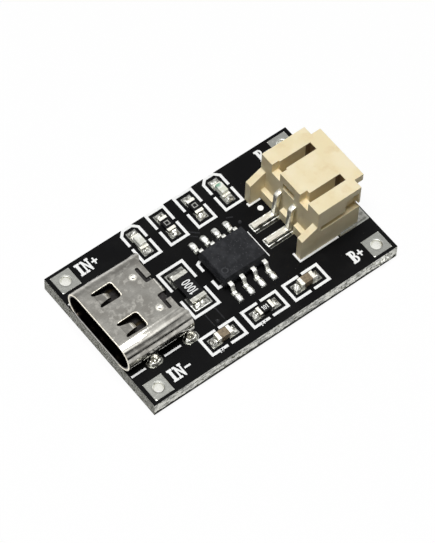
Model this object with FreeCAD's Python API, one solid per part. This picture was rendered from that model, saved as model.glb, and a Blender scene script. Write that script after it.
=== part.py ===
import FreeCAD, Part
import math
import os

from FreeCAD import Vector

os.makedirs("parts", exist_ok=True)

# Lithium cell charger module. Millimetres, +Z up.
# The origin is the centre of the board's underside. +X runs along the board from the
# power input end to the cell connector end, and +Y runs across it.

# Board
BOARD_LENGTH = 27.2
BOARD_WIDTH = 16.1
BOARD_THICKNESS = 1.6
MASK_THICKNESS = 0.04
INK_THICKNESS = 0.03
TOP = BOARD_THICKNESS
BOARD_END = BOARD_LENGTH / 2
BOARD_SIDE = BOARD_WIDTH / 2

# Wire pads at the four corners, each with a plated hole
WIRE_PAD_SIZE = 2.0
WIRE_PAD_END_MARGIN = 0.4
WIRE_PAD_SIDE_MARGIN = 0.29
WIRE_PAD_X = BOARD_END - WIRE_PAD_END_MARGIN - WIRE_PAD_SIZE / 2
WIRE_PAD_Y = BOARD_SIDE - WIRE_PAD_SIDE_MARGIN - WIRE_PAD_SIZE / 2
WIRE_HOLE_DIAMETER = 1.0

# Input socket shell, formed from one sheet. The socket's X positions are measured
# from the board's input end, where its mouth is.
INPUT_END = -BOARD_END
SHELL_WIDTH = 8.94
SHELL_HEIGHT = 3.2
SHELL_WALL = 0.3
SHELL_FRONT_X = 0.0
SHELL_REAR_X = 6.6
SHELL_SIDE_REAR_X = 7.05
SHELL_SIDE_CORNER_Y = 3.6
SHELL_MID_Z = TOP + SHELL_HEIGHT / 2
SHELL_TOP_Z = TOP + SHELL_HEIGHT
SHELL_WALL_MID_Z = SHELL_TOP_Z - SHELL_WALL / 2

# Two spring fingers pressed down out of the shell's top
FINGER_Y = 1.87
FINGER_ROOT_X = 1.25
FINGER_BEND_X = 2.1
FINGER_TIP_X = 2.55
FINGER_DROP_AT_BEND = 0.1
FINGER_DROP_AT_TIP = 0.36
FINGER_ROOT_HALF_WIDTH = 0.56
FINGER_TIP_HALF_WIDTH = 0.26
WINDOW_REAR_X = 3.3
WINDOW_FRONT_HALF_WIDTH = 0.82
WINDOW_REAR_HALF_WIDTH = 0.86
WINDOW_CORNER_RADIUS = 0.28

# Dimples and slots at the rear of the shell's top
DIMPLE_X = 5.15
DIMPLE_Y = 1.92
DIMPLE_RADIUS = 0.3
DIMPLE_DEPTH = 0.16
REAR_SLOT_FRONT_X = 5.74
REAR_SLOT_BACK_X = 6.1
REAR_SLOT_OUTER_Y = 2.55
REAR_TAB_LEFT_Y = 0.78
REAR_TAB_RIGHT_Y = -0.75
REAR_GAP_LEFT_Y = 1.2
REAR_GAP_RIGHT_Y = -1.58
REAR_TAB_DROP = 1.5
REAR_TAB_BEND_RADIUS = 0.25

# Shell legs and the board slots they stand in
LEG_X = (2.7, 6.65)
LEG_LENGTH = 0.8
LEG_DEPTH_IN_BOARD = 1.1
LEG_SLOT_LENGTH = 1.15
LEG_SLOT_WIDTH = 0.6
LEG_PAD_LENGTH = 1.55
LEG_PAD_WIDTH = 1.05
LEG_PAD_Y = 4.5
LEG_SOLDER_HEIGHT = 0.42
LEG_SOLDER_SLOPE = 0.2
LEG_SOLDER_INSET = 0.06

# Input socket moulding, tongue and contacts
MOULDING_FRONT_X = 4.4
TONGUE_FRONT_X = 0.9
TONGUE_HALF_WIDTH = 3.34
TONGUE_THICKNESS = 0.7
TONGUE_NOSE = 0.15
MOULDING_FOOT_FRONT_X = 5
MOULDING_FOOT_HALF_WIDTH = 2.85
CONTACT_Y = (-2.65, -1.52, -0.5, 0.5, 1.52, 2.65)
CONTACT_WIDTH = 0.3
CONTACT_THICKNESS = 0.15
CONTACT_PROUD = 0.025
CONTACT_TIP_X = 1.3
CONTACT_DROP_X = 5.65
CONTACT_TAIL_X = 7.45
CONTACT_PAD_FRONT_X = 6.6
CONTACT_PAD_BACK_X = 7.6
CONTACT_PAD_WIDTH = 0.5

# Cell connector housing. The connector's X positions are measured from the board's
# cell end, towards which it opens.
CELL_END = BOARD_END
CELL_Y = 0.06
CELL_WIDTH = 8.06
CELL_HEIGHT = 5.75
CELL_WALL_X = -6.13
CELL_SIDE_FRONT_X = -1.3
CELL_LIP_FRONT_X = -0.27
CELL_LIP_HALF_WIDTH = 3.06
CELL_TOP_WALL = 0.9
CELL_ROOF_THICKNESS = 1.9
CELL_SIDE_WALL = 0.9
CELL_REAR_WALL = 1.1
CELL_SIDE = CELL_WIDTH / 2
CELL_TOP_Z = TOP + CELL_HEIGHT
CELL_KEY_SLOTS = ((1.55, 2.43), (-2.58, -1.76))
CELL_KEY_FRONT_X = -1.91
CELL_KEY_STEP_X = -5.36
CELL_NOTCH_Y = (1.4, 2.56)
CELL_NOTCH_FLOOR = 4.55
CELL_POCKET_HALF_WIDTH = 0.8
CELL_POCKET_Z = (3.93, 4.75)
CELL_POCKET_DEPTH = 0.5
CELL_GROOVE_BACK_X = -5.7
CELL_GROOVE_Z = (2.75, 3.4)
CELL_GROOVE_DEPTH = 0.5
CELL_WINDOW_X = (-2.95, -1.5)
CELL_WINDOW_TOP = 4.95
CELL_WINDOW_DEPTH = 0.62
WING_BACK_X = -7.82
WING_THICKNESS = 0.68
WING_BACK_HEIGHT = 2.78
WING_FRONT_HEIGHT = 3.6
LEDGE_BACK_X = -6.58
LEDGE_BACK_HEIGHT = 1.15
LEDGE_FRONT_HEIGHT = 1.3
LEDGE_GAP = 1.0

# Cell connector pins and hold-down tabs
PIN_CENTRE_Y = 0.2
PIN_PITCH = 2.0
PIN_WIDTH = 0.5
PIN_THICKNESS = 0.42
PIN_HEIGHT = 3.21
PIN_TIP_X = -1.5
PIN_DROP_X = -6.54
PIN_ANKLE_X = -6.72
PIN_FOOT_X = -9.18
PIN_BEND_RADIUS = 0.34
PIN_PAD_Y = 1.0
PIN_PAD_BACK_X = -9.25
PIN_PAD_FRONT_X = -5.75
PIN_PAD_WIDTH = 1.0
PIN_SOLDER_HEIGHT = 0.1
PIN_SOLDER_INSET = 0.07
PIN_SOLDER_FRONT_X = -6.8
TAB_BACK_X = -3.25
TAB_FRONT_X = -0.3
TAB_INNER_Y = 2.8
TAB_OUTER_Y = 4.0
TAB_THICKNESS = 0.2
TAB_UPRIGHT_FRONT_X = -1.6
TAB_UPRIGHT_HEIGHT = 1.6
TAB_PAD_BACK_X = -3.45
TAB_PAD_FRONT_X = -0.1
TAB_PAD_INNER_Y = 2.6
TAB_PAD_OUTER_Y = 4.2

# Charger chip
CHIP_X = 0.85
CHIP_Y = -0.5
CHIP_LENGTH = 4.9
CHIP_WIDTH = 3.9
CHIP_UNDERSIDE = 0.1
CHIP_PARTING = 0.72
CHIP_HEIGHT = 1.5
CHIP_TOP_INSET = 0.19
CHIP_BOTTOM_INSET = 0.12
CHIP_DIMPLE_X = -1.72
CHIP_DIMPLE_Y = -1.0
CHIP_DIMPLE_RADIUS = 0.33
CHIP_DIMPLE_DEPTH = 0.07
LEAD_PITCH = 1.27
LEADS_PER_SIDE = 4
LEAD_WIDTH = 0.42
LEAD_THICKNESS = 0.2
LEAD_EXIT_HEIGHT = 0.82
LEAD_ROOT_Y = 1.6
LEAD_SHOULDER_Y = 2.3
LEAD_ANKLE_Y = 2.55
LEAD_TOE_Y = 3.1
LEAD_BEND_RADIUS = 0.16
LEAD_PAD_INNER_Y = 2.5
LEAD_PAD_OUTER_Y = 3.74
LEAD_PAD_WIDTH = 0.54
LEAD_SOLDER_HEIGHT = 0.24
LEAD_SOLDER_SLOPE = 0.1
LEAD_SOLDER_INSET = 0.02

# Small two-ended parts, 1.6 mm long. X positions run along the board.
UPPER_ROW_INSET = 2.02
UPPER_ROW_Y = BOARD_SIDE - UPPER_ROW_INSET
UPPER_ROW_X = (-4.57, -1.52, 1.6, 4.66)
LOWER_ROW_INSET = 1.93
LOWER_ROW_Y = LOWER_ROW_INSET - BOARD_SIDE
LOWER_ROW_X = (-4.6, 0.05, 4.69)
SMALL_LENGTH = 1.6
SMALL_WIDTH = 0.82
SMALL_END = 0.3
END_FILM = 0.03
RESISTOR_HEIGHT = 0.45
CAPACITOR_HEIGHT = 0.8
CAPACITOR_END = 0.36
LAMP_BASE_HEIGHT = 0.28
LAMP_LENS_HEIGHT = 0.62
LAMP_LENS_LENGTH = 1.16
LAMP_LENS_WIDTH = 0.78
LAMP_LENS_INSET = 0.05
SMALL_PAD_INNER = 0.36
SMALL_PAD_OUTER = 1.44
SMALL_PAD_WIDTH = 1.0

# Current sense resistor, 3.2 mm long
SENSE_X = -4.05
SENSE_Y = -0.42
SENSE_LENGTH = 3.2
SENSE_WIDTH = 1.6
SENSE_HEIGHT = 0.55
SENSE_END = 0.42
SENSE_PAD_INNER = 0.65
SENSE_PAD_OUTER = 2.27
SENSE_PAD_WIDTH = 1.9
SOLDER_RISE_RATIO = 0.7
SOLDER_HOLLOW_RATIO = 0.36

# Printed outlines round the parts
INK_WIDTH = 0.27
INK_FINE_WIDTH = 0.2
INK_HAIR_WIDTH = 0.08
FRAME_HALF_LENGTH = 1.88
FRAME_HALF_WIDTH = 0.94
FRAME_GAP = 0.31
FRAME_CHAMFER = 0.45
SENSE_FRAME_HALF_LENGTH = 2.71
SENSE_FRAME_HALF_WIDTH = 1.33
SENSE_FRAME_GAP = 0.75
CHIP_MARK_X = -2.72
CHIP_MARK_HOOK = 0.26
CHIP_MARK_UPPER_Y = (0.85, 1.72)
CHIP_MARK_LOWER_Y = (-1.42, -0.62)
CHIP_HAIRLINE_X = 2.97
CHIP_HAIRLINE_Y = (-1.46, 1.65)
SHELL_MARK_X = ((0.2, 1.55), (3.8, 5.4))
SHELL_MARK_Y = 4.6
CELL_MARK_INNER_X = -6.75
CELL_MARK_FRONT_X = -3.7
PRINT_CLEARANCE = 0.02
PIN_DOT = (-7.28, 2.48)
PIN_DOT_RADIUS = 0.28


def box(x0, x1, y0, y1, z0, z1):
    return Part.makeBox(x1 - x0, y1 - y0, z1 - z0, Vector(x0, y0, z0))


def prism_z(outline, z0, z1):
    points = [Vector(x, y, z0) for x, y in outline]
    wire = Part.makePolygon(points + points[:1])
    return Part.Face(wire).extrude(Vector(0, 0, z1 - z0))


def prism_y(outline, y0, y1):
    points = [Vector(x, y0, z) for x, z in outline]
    wire = Part.makePolygon(points + points[:1])
    return Part.Face(wire).extrude(Vector(0, y1 - y0, 0))


def stadium(start, end, width, z0, z1):
    """Block with two straight sides and round ends, between two centre points."""
    half = width / 2
    first = Vector(start[0], start[1], z0)
    last = Vector(end[0], end[1], z0)
    direction = (last - first).normalize()
    side = Vector(-direction.y, direction.x, 0)
    near_arc = Part.Arc(first + side * half, first - direction * half, first - side * half)
    far_arc = Part.Arc(last - side * half, last + direction * half, last + side * half)
    edges = [
        near_arc.toShape(),
        Part.makeLine(first - side * half, last - side * half),
        far_arc.toShape(),
        Part.makeLine(last + side * half, first + side * half),
    ]
    return Part.Face(Part.Wire(edges)).extrude(Vector(0, 0, z1 - z0))


def rectangle(x0, x1, y0, y1, z):
    corners = [(x0, y0), (x1, y0), (x1, y1), (x0, y1), (x0, y0)]
    return Part.makePolygon([Vector(x, y, z) for x, y in corners])


def long_octagon(x0, x1, y0, y1, z):
    """Outline along X with eight sides, the corners cut so that its ends are half an octagon."""
    half = (y1 - y0) / 2
    cut = half * (1 - math.tan(math.pi / 8))
    corners = [
        (x0 + cut, y0), (x1 - cut, y0), (x1, y0 + cut), (x1, y1 - cut),
        (x1 - cut, y1), (x0 + cut, y1), (x0, y1 - cut), (x0, y0 + cut), (x0 + cut, y0),
    ]
    return Part.makePolygon([Vector(x, y, z) for x, y in corners])


def solder_mound(outline, limits, height, slope):
    """Mound on a pad, its sides leaning in by the slope towards the top."""
    x0, x1, y0, y1 = limits
    foot = outline(x0, x1, y0, y1, TOP)
    head = outline(x0 + slope, x1 - slope, y0 + slope, y1 - slope, TOP + height)
    return Part.makeLoft([foot, head], True, True)


def tube_along_x(width, height, x0, x1, z_mid):
    """Solid along X whose section has flat top and bottom and full round sides."""
    radius = height / 2
    reach = width / 2 - radius
    top_left = Vector(x0, reach, z_mid + radius)
    top_right = Vector(x0, -reach, z_mid + radius)
    bottom_left = Vector(x0, reach, z_mid - radius)
    bottom_right = Vector(x0, -reach, z_mid - radius)
    left_arc = Part.Arc(bottom_left, Vector(x0, width / 2, z_mid), top_left)
    right_arc = Part.Arc(top_right, Vector(x0, -width / 2, z_mid), bottom_right)
    edges = [
        left_arc.toShape(),
        Part.makeLine(top_left, top_right),
        right_arc.toShape(),
        Part.makeLine(bottom_right, bottom_left),
    ]
    return Part.Face(Part.Wire(edges)).extrude(Vector(x1 - x0, 0, 0))


def strip_side(path, bend_radius, offset):
    """Lines and arcs of one side of a bent strip, as lists of two or three points."""
    runs = []
    cursor = None
    for index in range(len(path) - 1):
        start, end = path[index], path[index + 1]
        direction = Vector(end[0] - start[0], end[1] - start[1], 0).normalize()
        left = Vector(-direction.y, direction.x, 0)
        begin = Vector(start[0], start[1], 0) + left * offset
        if cursor is None:
            cursor = begin
        if index + 2 == len(path):
            runs.append([cursor, Vector(end[0], end[1], 0) + left * offset])
            break
        after = path[index + 2]
        turned = Vector(after[0] - end[0], after[1] - end[1], 0).normalize()
        turned_left = Vector(-turned.y, turned.x, 0)
        cross = direction.x * turned.y - direction.y * turned.x
        sign = 1 if cross > 0 else -1
        angle = math.acos(max(-1, min(1, direction.dot(turned))))
        trim = bend_radius * math.tan(angle / 2)
        corner = Vector(end[0], end[1], 0)
        arc_start = corner - direction * trim
        arc_end = corner + turned * trim
        centre = arc_start + left * (sign * bend_radius)
        radius = bend_radius - sign * offset
        outward = (corner - centre).normalize()
        first = arc_start + left * offset
        middle = centre + outward * radius
        last = arc_end + turned_left * offset
        runs.append([cursor, first])
        runs.append([first, middle, last])
        cursor = last
    return runs


def bent_strip(path, bend_radius, thickness, place, sweep):
    """Sheet strip bent along a path. place maps the path's plane to space."""
    left_side = strip_side(path, bend_radius, thickness / 2)
    right_side = strip_side(path, bend_radius, -thickness / 2)
    edges = []
    for run in left_side + right_side:
        points = [place(point.x, point.y) for point in run]
        if len(points) == 2:
            edges.append(Part.makeLine(points[0], points[1]))
        else:
            edges.append(Part.Arc(points[0], points[1], points[2]).toShape())
    for end in (0, -1):
        index = 0 if end == 0 else -1
        left_point = left_side[end][index]
        right_point = right_side[end][index]
        corner_a = place(left_point.x, left_point.y)
        corner_b = place(right_point.x, right_point.y)
        edges.append(Part.makeLine(corner_a, corner_b))
    wire = Part.Wire(Part.__sortEdges__(edges))
    return Part.Face(wire).extrude(sweep)


def strip_in_xz(path, bend_radius, thickness, y_mid, width):
    return bent_strip(
        path, bend_radius, thickness,
        lambda x, z: Vector(x, y_mid - width / 2, z), Vector(0, width, 0),
    )


def strip_in_yz(path, bend_radius, thickness, x_mid, width):
    return bent_strip(
        path, bend_radius, thickness,
        lambda y, z: Vector(x_mid - width / 2, y, z), Vector(width, 0, 0),
    )


def fuse_all(solids):
    if len(solids) == 1:
        return solids[0]
    return solids[0].multiFuse(solids[1:]).removeSplitter()


def shifted(shapes, distance):
    """Copies of the shapes moved along the board."""
    return [shape.translated(Vector(distance, 0, 0)) for shape in shapes]


def along(direction, centre, distance, across):
    """Point measured along and across a part that lies along X or along Y."""
    if direction == "x":
        return (centre[0] + distance, centre[1] + across)
    return (centre[0] + across, centre[1] + distance)


def block_along(direction, centre, low, high, half_width, z0, z1):
    """Box measured along and across a part that lies along X or along Y."""
    a = along(direction, centre, low, -half_width)
    b = along(direction, centre, high, half_width)
    return box(min(a[0], b[0]), max(a[0], b[0]), min(a[1], b[1]), max(a[1], b[1]), z0, z1)


def save(node, solids):
    shape = Part.makeCompound(solids) if len(solids) > 1 else solids[0]
    shape.exportStep("parts/" + node + ".step")


# Places of the two-ended parts: the row across the far side lies along Y,
# the row on the near side lies along X
lamp_places = [("y", (UPPER_ROW_X[0], UPPER_ROW_Y)), ("y", (UPPER_ROW_X[3], UPPER_ROW_Y))]
resistor_places = [
    ("y", (UPPER_ROW_X[1], UPPER_ROW_Y)),
    ("y", (UPPER_ROW_X[2], UPPER_ROW_Y)),
    ("x", (LOWER_ROW_X[1], LOWER_ROW_Y)),
]
capacitor_places = [("x", (LOWER_ROW_X[0], LOWER_ROW_Y)), ("x", (LOWER_ROW_X[2], LOWER_ROW_Y))]
small_places = lamp_places + resistor_places + capacitor_places
sense_place = ("y", (SENSE_X, SENSE_Y))

wire_places = [(x, y) for x in (-WIRE_PAD_X, WIRE_PAD_X) for y in (-WIRE_PAD_Y, WIRE_PAD_Y)]
leg_places = [(x, side) for x in LEG_X for side in (-1, 1)]
first_lead_x = CHIP_X - (LEADS_PER_SIDE - 1) / 2 * LEAD_PITCH
lead_x = [first_lead_x + index * LEAD_PITCH for index in range(LEADS_PER_SIDE)]
lead_places = [(x, side) for x in lead_x for side in (-1, 1)]
pin_y = (PIN_CENTRE_Y - PIN_PITCH / 2, PIN_CENTRE_Y + PIN_PITCH / 2)
pin_pad_y = (-PIN_PAD_Y, PIN_PAD_Y)

# Outlines of every tinned pad on the top face, as boxes through the mask
PAD_BASE = TOP - MASK_THICKNESS
CORE_BASE = MASK_THICKNESS


def limits_round(x, y, length, width):
    return x - length / 2, x + length / 2, y - width / 2, y + width / 2


def leg_land(x, side, z0, z1):
    limits = limits_round(x, side * LEG_PAD_Y, LEG_PAD_LENGTH, LEG_PAD_WIDTH)
    return Part.Face(long_octagon(*limits, z0)).extrude(Vector(0, 0, z1 - z0))


def leg_slot(x, side, z0, z1):
    y = side * (SHELL_WIDTH / 2 - SHELL_WALL / 2)
    limits = limits_round(x, y, LEG_SLOT_LENGTH, LEG_SLOT_WIDTH)
    return Part.Face(long_octagon(*limits, z0)).extrude(Vector(0, 0, z1 - z0))


def wire_square(x, y, z0, z1):
    half = WIRE_PAD_SIZE / 2
    return box(x - half, x + half, y - half, y + half, z0, z1)


part_pads = []
for direction, centre in small_places:
    for side in (-1, 1):
        low, high = sorted((side * SMALL_PAD_INNER, side * SMALL_PAD_OUTER))
        half = SMALL_PAD_WIDTH / 2
        part_pads.append(block_along(direction, centre, low, high, half, PAD_BASE, TOP))
for side in (-1, 1):
    low, high = sorted((side * SENSE_PAD_INNER, side * SENSE_PAD_OUTER))
    part_pads.append(block_along(*sense_place, low, high, SENSE_PAD_WIDTH / 2, PAD_BASE, TOP))
for x, side in lead_places:
    low, high = sorted((side * LEAD_PAD_INNER_Y, side * LEAD_PAD_OUTER_Y))
    half = LEAD_PAD_WIDTH / 2
    part_pads.append(box(x - half, x + half, CHIP_Y + low, CHIP_Y + high, PAD_BASE, TOP))
contact_pads = []
for y in CONTACT_Y:
    half = CONTACT_PAD_WIDTH / 2
    contact_pads.append(box(
        CONTACT_PAD_FRONT_X, CONTACT_PAD_BACK_X, y - half, y + half, PAD_BASE, TOP,
    ))
part_pads += shifted(contact_pads, INPUT_END)
connector_pads = []
for y in pin_pad_y:
    half = PIN_PAD_WIDTH / 2
    connector_pads.append(box(PIN_PAD_BACK_X, PIN_PAD_FRONT_X, y - half, y + half, PAD_BASE, TOP))
for side in (-1, 1):
    low, high = sorted((side * TAB_PAD_INNER_Y, side * TAB_PAD_OUTER_Y))
    connector_pads.append(box(TAB_PAD_BACK_X, TAB_PAD_FRONT_X, low, high, PAD_BASE, TOP))
part_pads += shifted(connector_pads, CELL_END)

leg_slots = shifted([leg_slot(x, side, 0, TOP) for x, side in leg_places], INPUT_END)
leg_lands_top = shifted([leg_land(x, side, PAD_BASE, TOP) for x, side in leg_places], INPUT_END)
leg_lands_bottom = shifted([leg_land(x, side, 0, CORE_BASE) for x, side in leg_places], INPUT_END)

# Board laminate with its wire holes and leg slots
core = box(-BOARD_END, BOARD_END, -BOARD_SIDE, BOARD_SIDE, CORE_BASE, PAD_BASE)
hole_radius = WIRE_HOLE_DIAMETER / 2
drills = [Part.makeCylinder(hole_radius, TOP, Vector(x, y, 0)) for x, y in wire_places]
save("board_core", [core.cut(drills + leg_slots)])

# Black mask on both faces, open over every pad
mask_top = box(-BOARD_END, BOARD_END, -BOARD_SIDE, BOARD_SIDE, PAD_BASE, TOP)
wire_lands_top = [wire_square(x, y, PAD_BASE, TOP) for x, y in wire_places]
save("mask_top", [mask_top.cut(part_pads + wire_lands_top + leg_lands_top)])
mask_bottom = box(-BOARD_END, BOARD_END, -BOARD_SIDE, BOARD_SIDE, 0, CORE_BASE)
wire_lands_bottom = [wire_square(x, y, 0, CORE_BASE) for x, y in wire_places]
save("mask_bottom", [mask_bottom.cut(wire_lands_bottom + leg_lands_bottom)])

# Tinned copper: wire pads on both faces, pads for the parts
save("wire_pads", [land.cut(drills) for land in wire_lands_top + wire_lands_bottom])
save("part_pads", part_pads)
save("leg_pads", [land.cut(leg_slots) for land in leg_lands_top + leg_lands_bottom])

# Input socket shell. Its round sides reach further back than its flat top.
shell = tube_along_x(SHELL_WIDTH, SHELL_HEIGHT, SHELL_FRONT_X, SHELL_SIDE_REAR_X, SHELL_MID_Z)
cavity_width = SHELL_WIDTH - 2 * SHELL_WALL
cavity_height = SHELL_HEIGHT - 2 * SHELL_WALL
cavity = tube_along_x(cavity_width, cavity_height, SHELL_FRONT_X, SHELL_SIDE_REAR_X, SHELL_MID_Z)
shell = shell.cut(cavity)
flat_half_width = (SHELL_WIDTH - SHELL_HEIGHT) / 2
rear_cut = prism_z([
    (SHELL_REAR_X, -flat_half_width),
    (SHELL_SIDE_REAR_X, -SHELL_SIDE_CORNER_Y),
    (SHELL_SIDE_REAR_X, SHELL_SIDE_CORNER_Y),
    (SHELL_REAR_X, flat_half_width),
], TOP, SHELL_TOP_Z)
roof_low = SHELL_TOP_Z - SHELL_WALL
roof_cuts = []
fingers = []
for side in (-1, 1):
    y = side * FINGER_Y
    window = prism_z([
        (FINGER_ROOT_X, y - WINDOW_FRONT_HALF_WIDTH),
        (WINDOW_REAR_X, y - WINDOW_REAR_HALF_WIDTH),
        (WINDOW_REAR_X, y + WINDOW_REAR_HALF_WIDTH),
        (FINGER_ROOT_X, y + WINDOW_FRONT_HALF_WIDTH),
    ], roof_low, SHELL_TOP_Z)
    rear_corners = [
        edge for edge in window.Edges
        if edge.BoundBox.XMin > FINGER_TIP_X and edge.BoundBox.ZLength > SHELL_WALL / 2
    ]
    roof_cuts.append(window.makeFillet(WINDOW_CORNER_RADIUS, rear_corners))
    slot_radius = (WINDOW_FRONT_HALF_WIDTH - FINGER_ROOT_HALF_WIDTH) / 2
    slot_centre = (WINDOW_FRONT_HALF_WIDTH + FINGER_ROOT_HALF_WIDTH) / 2
    for edge in (-1, 1):
        centre = Vector(FINGER_ROOT_X, y + edge * slot_centre, roof_low)
        roof_cuts.append(Part.makeCylinder(slot_radius, SHELL_WALL, centre))
    bent = strip_in_xz([
        (FINGER_ROOT_X, SHELL_WALL_MID_Z),
        (FINGER_BEND_X, SHELL_WALL_MID_Z - FINGER_DROP_AT_BEND),
        (FINGER_TIP_X, SHELL_WALL_MID_Z - FINGER_DROP_AT_TIP),
    ], SHELL_WALL, SHELL_WALL, y, 2 * FINGER_ROOT_HALF_WIDTH)
    taper = prism_z([
        (FINGER_ROOT_X - SHELL_WALL, y - FINGER_ROOT_HALF_WIDTH),
        (FINGER_TIP_X, y - FINGER_TIP_HALF_WIDTH),
        (FINGER_TIP_X, y + FINGER_TIP_HALF_WIDTH),
        (FINGER_ROOT_X - SHELL_WALL, y + FINGER_ROOT_HALF_WIDTH),
    ], TOP, SHELL_TOP_Z)
    fingers.append(bent.common(taper))
slot_width = REAR_SLOT_BACK_X - REAR_SLOT_FRONT_X
slot_mid_x = (REAR_SLOT_BACK_X + REAR_SLOT_FRONT_X) / 2
roof_cuts.append(stadium(
    (slot_mid_x, REAR_TAB_LEFT_Y + slot_width / 2),
    (slot_mid_x, REAR_SLOT_OUTER_Y - slot_width / 2),
    slot_width, roof_low, SHELL_TOP_Z,
))
roof_cuts.append(stadium(
    (slot_mid_x, REAR_TAB_RIGHT_Y - slot_width / 2),
    (slot_mid_x, -REAR_SLOT_OUTER_Y + slot_width / 2),
    slot_width, roof_low, SHELL_TOP_Z,
))
for low, high in ((REAR_TAB_LEFT_Y, REAR_GAP_LEFT_Y), (REAR_GAP_RIGHT_Y, REAR_TAB_RIGHT_Y)):
    roof_cuts.append(box(slot_mid_x, SHELL_REAR_X, low, high, roof_low, SHELL_TOP_Z))
floor_cut = box(
    MOULDING_FOOT_FRONT_X, SHELL_REAR_X, -MOULDING_FOOT_HALF_WIDTH, MOULDING_FOOT_HALF_WIDTH,
    TOP, TOP + SHELL_WALL,
)
ball_radius = (DIMPLE_RADIUS ** 2 + DIMPLE_DEPTH ** 2) / (2 * DIMPLE_DEPTH)
ball_z = SHELL_TOP_Z + ball_radius - DIMPLE_DEPTH
dimples = [
    Part.makeSphere(ball_radius, Vector(DIMPLE_X, side * DIMPLE_Y, ball_z)) for side in (-1, 1)
]
shell = shell.cut(roof_cuts + [rear_cut, floor_cut] + dimples)
tab_mid_y = (REAR_TAB_LEFT_Y + REAR_TAB_RIGHT_Y) / 2
tab_width = REAR_TAB_LEFT_Y - REAR_TAB_RIGHT_Y
rear_tab = strip_in_xz([
    (slot_mid_x, SHELL_WALL_MID_Z),
    (SHELL_REAR_X, SHELL_WALL_MID_Z),
    (SHELL_REAR_X, SHELL_WALL_MID_Z - REAR_TAB_DROP),
], REAR_TAB_BEND_RADIUS, SHELL_WALL, tab_mid_y, tab_width)
tab_space = box(
    slot_mid_x, SHELL_REAR_X, REAR_TAB_RIGHT_Y, REAR_TAB_LEFT_Y, roof_low, SHELL_TOP_Z,
)
shell = shell.cut(tab_space)
legs = []
leg_outer = SHELL_WIDTH / 2
leg_inner = leg_outer - SHELL_WALL
for x, side in leg_places:
    low, high = sorted((side * leg_inner, side * leg_outer))
    legs.append(box(
        x - LEG_LENGTH / 2, x + LEG_LENGTH / 2, low, high, TOP - LEG_DEPTH_IN_BOARD, SHELL_MID_Z,
    ))
shell = fuse_all([shell, rear_tab] + fingers + legs)
save("input_shell", shifted([shell], INPUT_END))

# Solder joints of the shell legs: each fills its slot and rises in a mound
leg_joints = []
for x, side in leg_places:
    limits = limits_round(
        x, side * LEG_PAD_Y,
        LEG_PAD_LENGTH - 2 * LEG_SOLDER_INSET, LEG_PAD_WIDTH - 2 * LEG_SOLDER_INSET,
    )
    mound = solder_mound(long_octagon, limits, LEG_SOLDER_HEIGHT, LEG_SOLDER_SLOPE)
    fill = leg_slot(x, side, 0, TOP)
    leg_joints.append(mound.fuse(fill).cut(shell))
save("leg_solder", shifted(leg_joints, INPUT_END))

# Input socket moulding with its tongue, and the contacts set in it
moulding_rear_x = SHELL_REAR_X - SHELL_WALL / 2
tongue_top = SHELL_MID_Z + TONGUE_THICKNESS / 2
tongue_bottom = SHELL_MID_Z - TONGUE_THICKNESS / 2
contact_top = tongue_top + CONTACT_PROUD
contacts = []
for y in CONTACT_Y:
    contacts.append(prism_y([
        (CONTACT_TIP_X, contact_top),
        (CONTACT_DROP_X + CONTACT_THICKNESS, contact_top),
        (CONTACT_DROP_X + CONTACT_THICKNESS, TOP + CONTACT_THICKNESS),
        (CONTACT_TAIL_X, TOP + CONTACT_THICKNESS),
        (CONTACT_TAIL_X, TOP),
        (CONTACT_DROP_X, TOP),
        (CONTACT_DROP_X, contact_top - CONTACT_THICKNESS),
        (CONTACT_TIP_X, contact_top - CONTACT_THICKNESS),
    ], y - CONTACT_WIDTH / 2, y + CONTACT_WIDTH / 2))
tongue = prism_y([
    (MOULDING_FRONT_X, tongue_bottom),
    (TONGUE_FRONT_X + TONGUE_NOSE, tongue_bottom),
    (TONGUE_FRONT_X, tongue_bottom + TONGUE_NOSE),
    (TONGUE_FRONT_X, tongue_top - TONGUE_NOSE),
    (TONGUE_FRONT_X + TONGUE_NOSE, tongue_top),
    (MOULDING_FRONT_X, tongue_top),
], -TONGUE_HALF_WIDTH, TONGUE_HALF_WIDTH)
block = tube_along_x(cavity_width, cavity_height, MOULDING_FRONT_X, moulding_rear_x, SHELL_MID_Z)
foot = box(
    MOULDING_FOOT_FRONT_X, moulding_rear_x, -MOULDING_FOOT_HALF_WIDTH, MOULDING_FOOT_HALF_WIDTH,
    TOP, TOP + SHELL_WALL,
)
moulding = fuse_all([block, tongue, foot]).cut(contacts + [shell])
save("input_moulding", shifted([moulding], INPUT_END))
save("input_contacts", shifted(contacts, INPUT_END))

# Cell connector housing, open at the board's end
cell_left = CELL_Y + CELL_SIDE
cell_right = CELL_Y - CELL_SIDE
housing = box(CELL_WALL_X, CELL_SIDE_FRONT_X, cell_right, cell_left, TOP, CELL_TOP_Z)
lip = box(
    CELL_SIDE_FRONT_X, CELL_LIP_FRONT_X, CELL_Y - CELL_LIP_HALF_WIDTH, CELL_Y + CELL_LIP_HALF_WIDTH,
    CELL_TOP_Z - CELL_TOP_WALL, CELL_TOP_Z,
)
wing_outline = [
    (WING_BACK_X, TOP),
    (CELL_WALL_X, TOP),
    (CELL_WALL_X, TOP + WING_FRONT_HEIGHT),
    (WING_BACK_X, TOP + WING_BACK_HEIGHT),
]
wings = [
    prism_y(wing_outline, cell_right, cell_right + WING_THICKNESS),
    prism_y(wing_outline, cell_left - WING_THICKNESS, cell_left),
]
ledge_outline = [
    (LEDGE_BACK_X, TOP),
    (CELL_WALL_X, TOP),
    (CELL_WALL_X, TOP + LEDGE_FRONT_HEIGHT),
    (LEDGE_BACK_X, TOP + LEDGE_BACK_HEIGHT),
]
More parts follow.
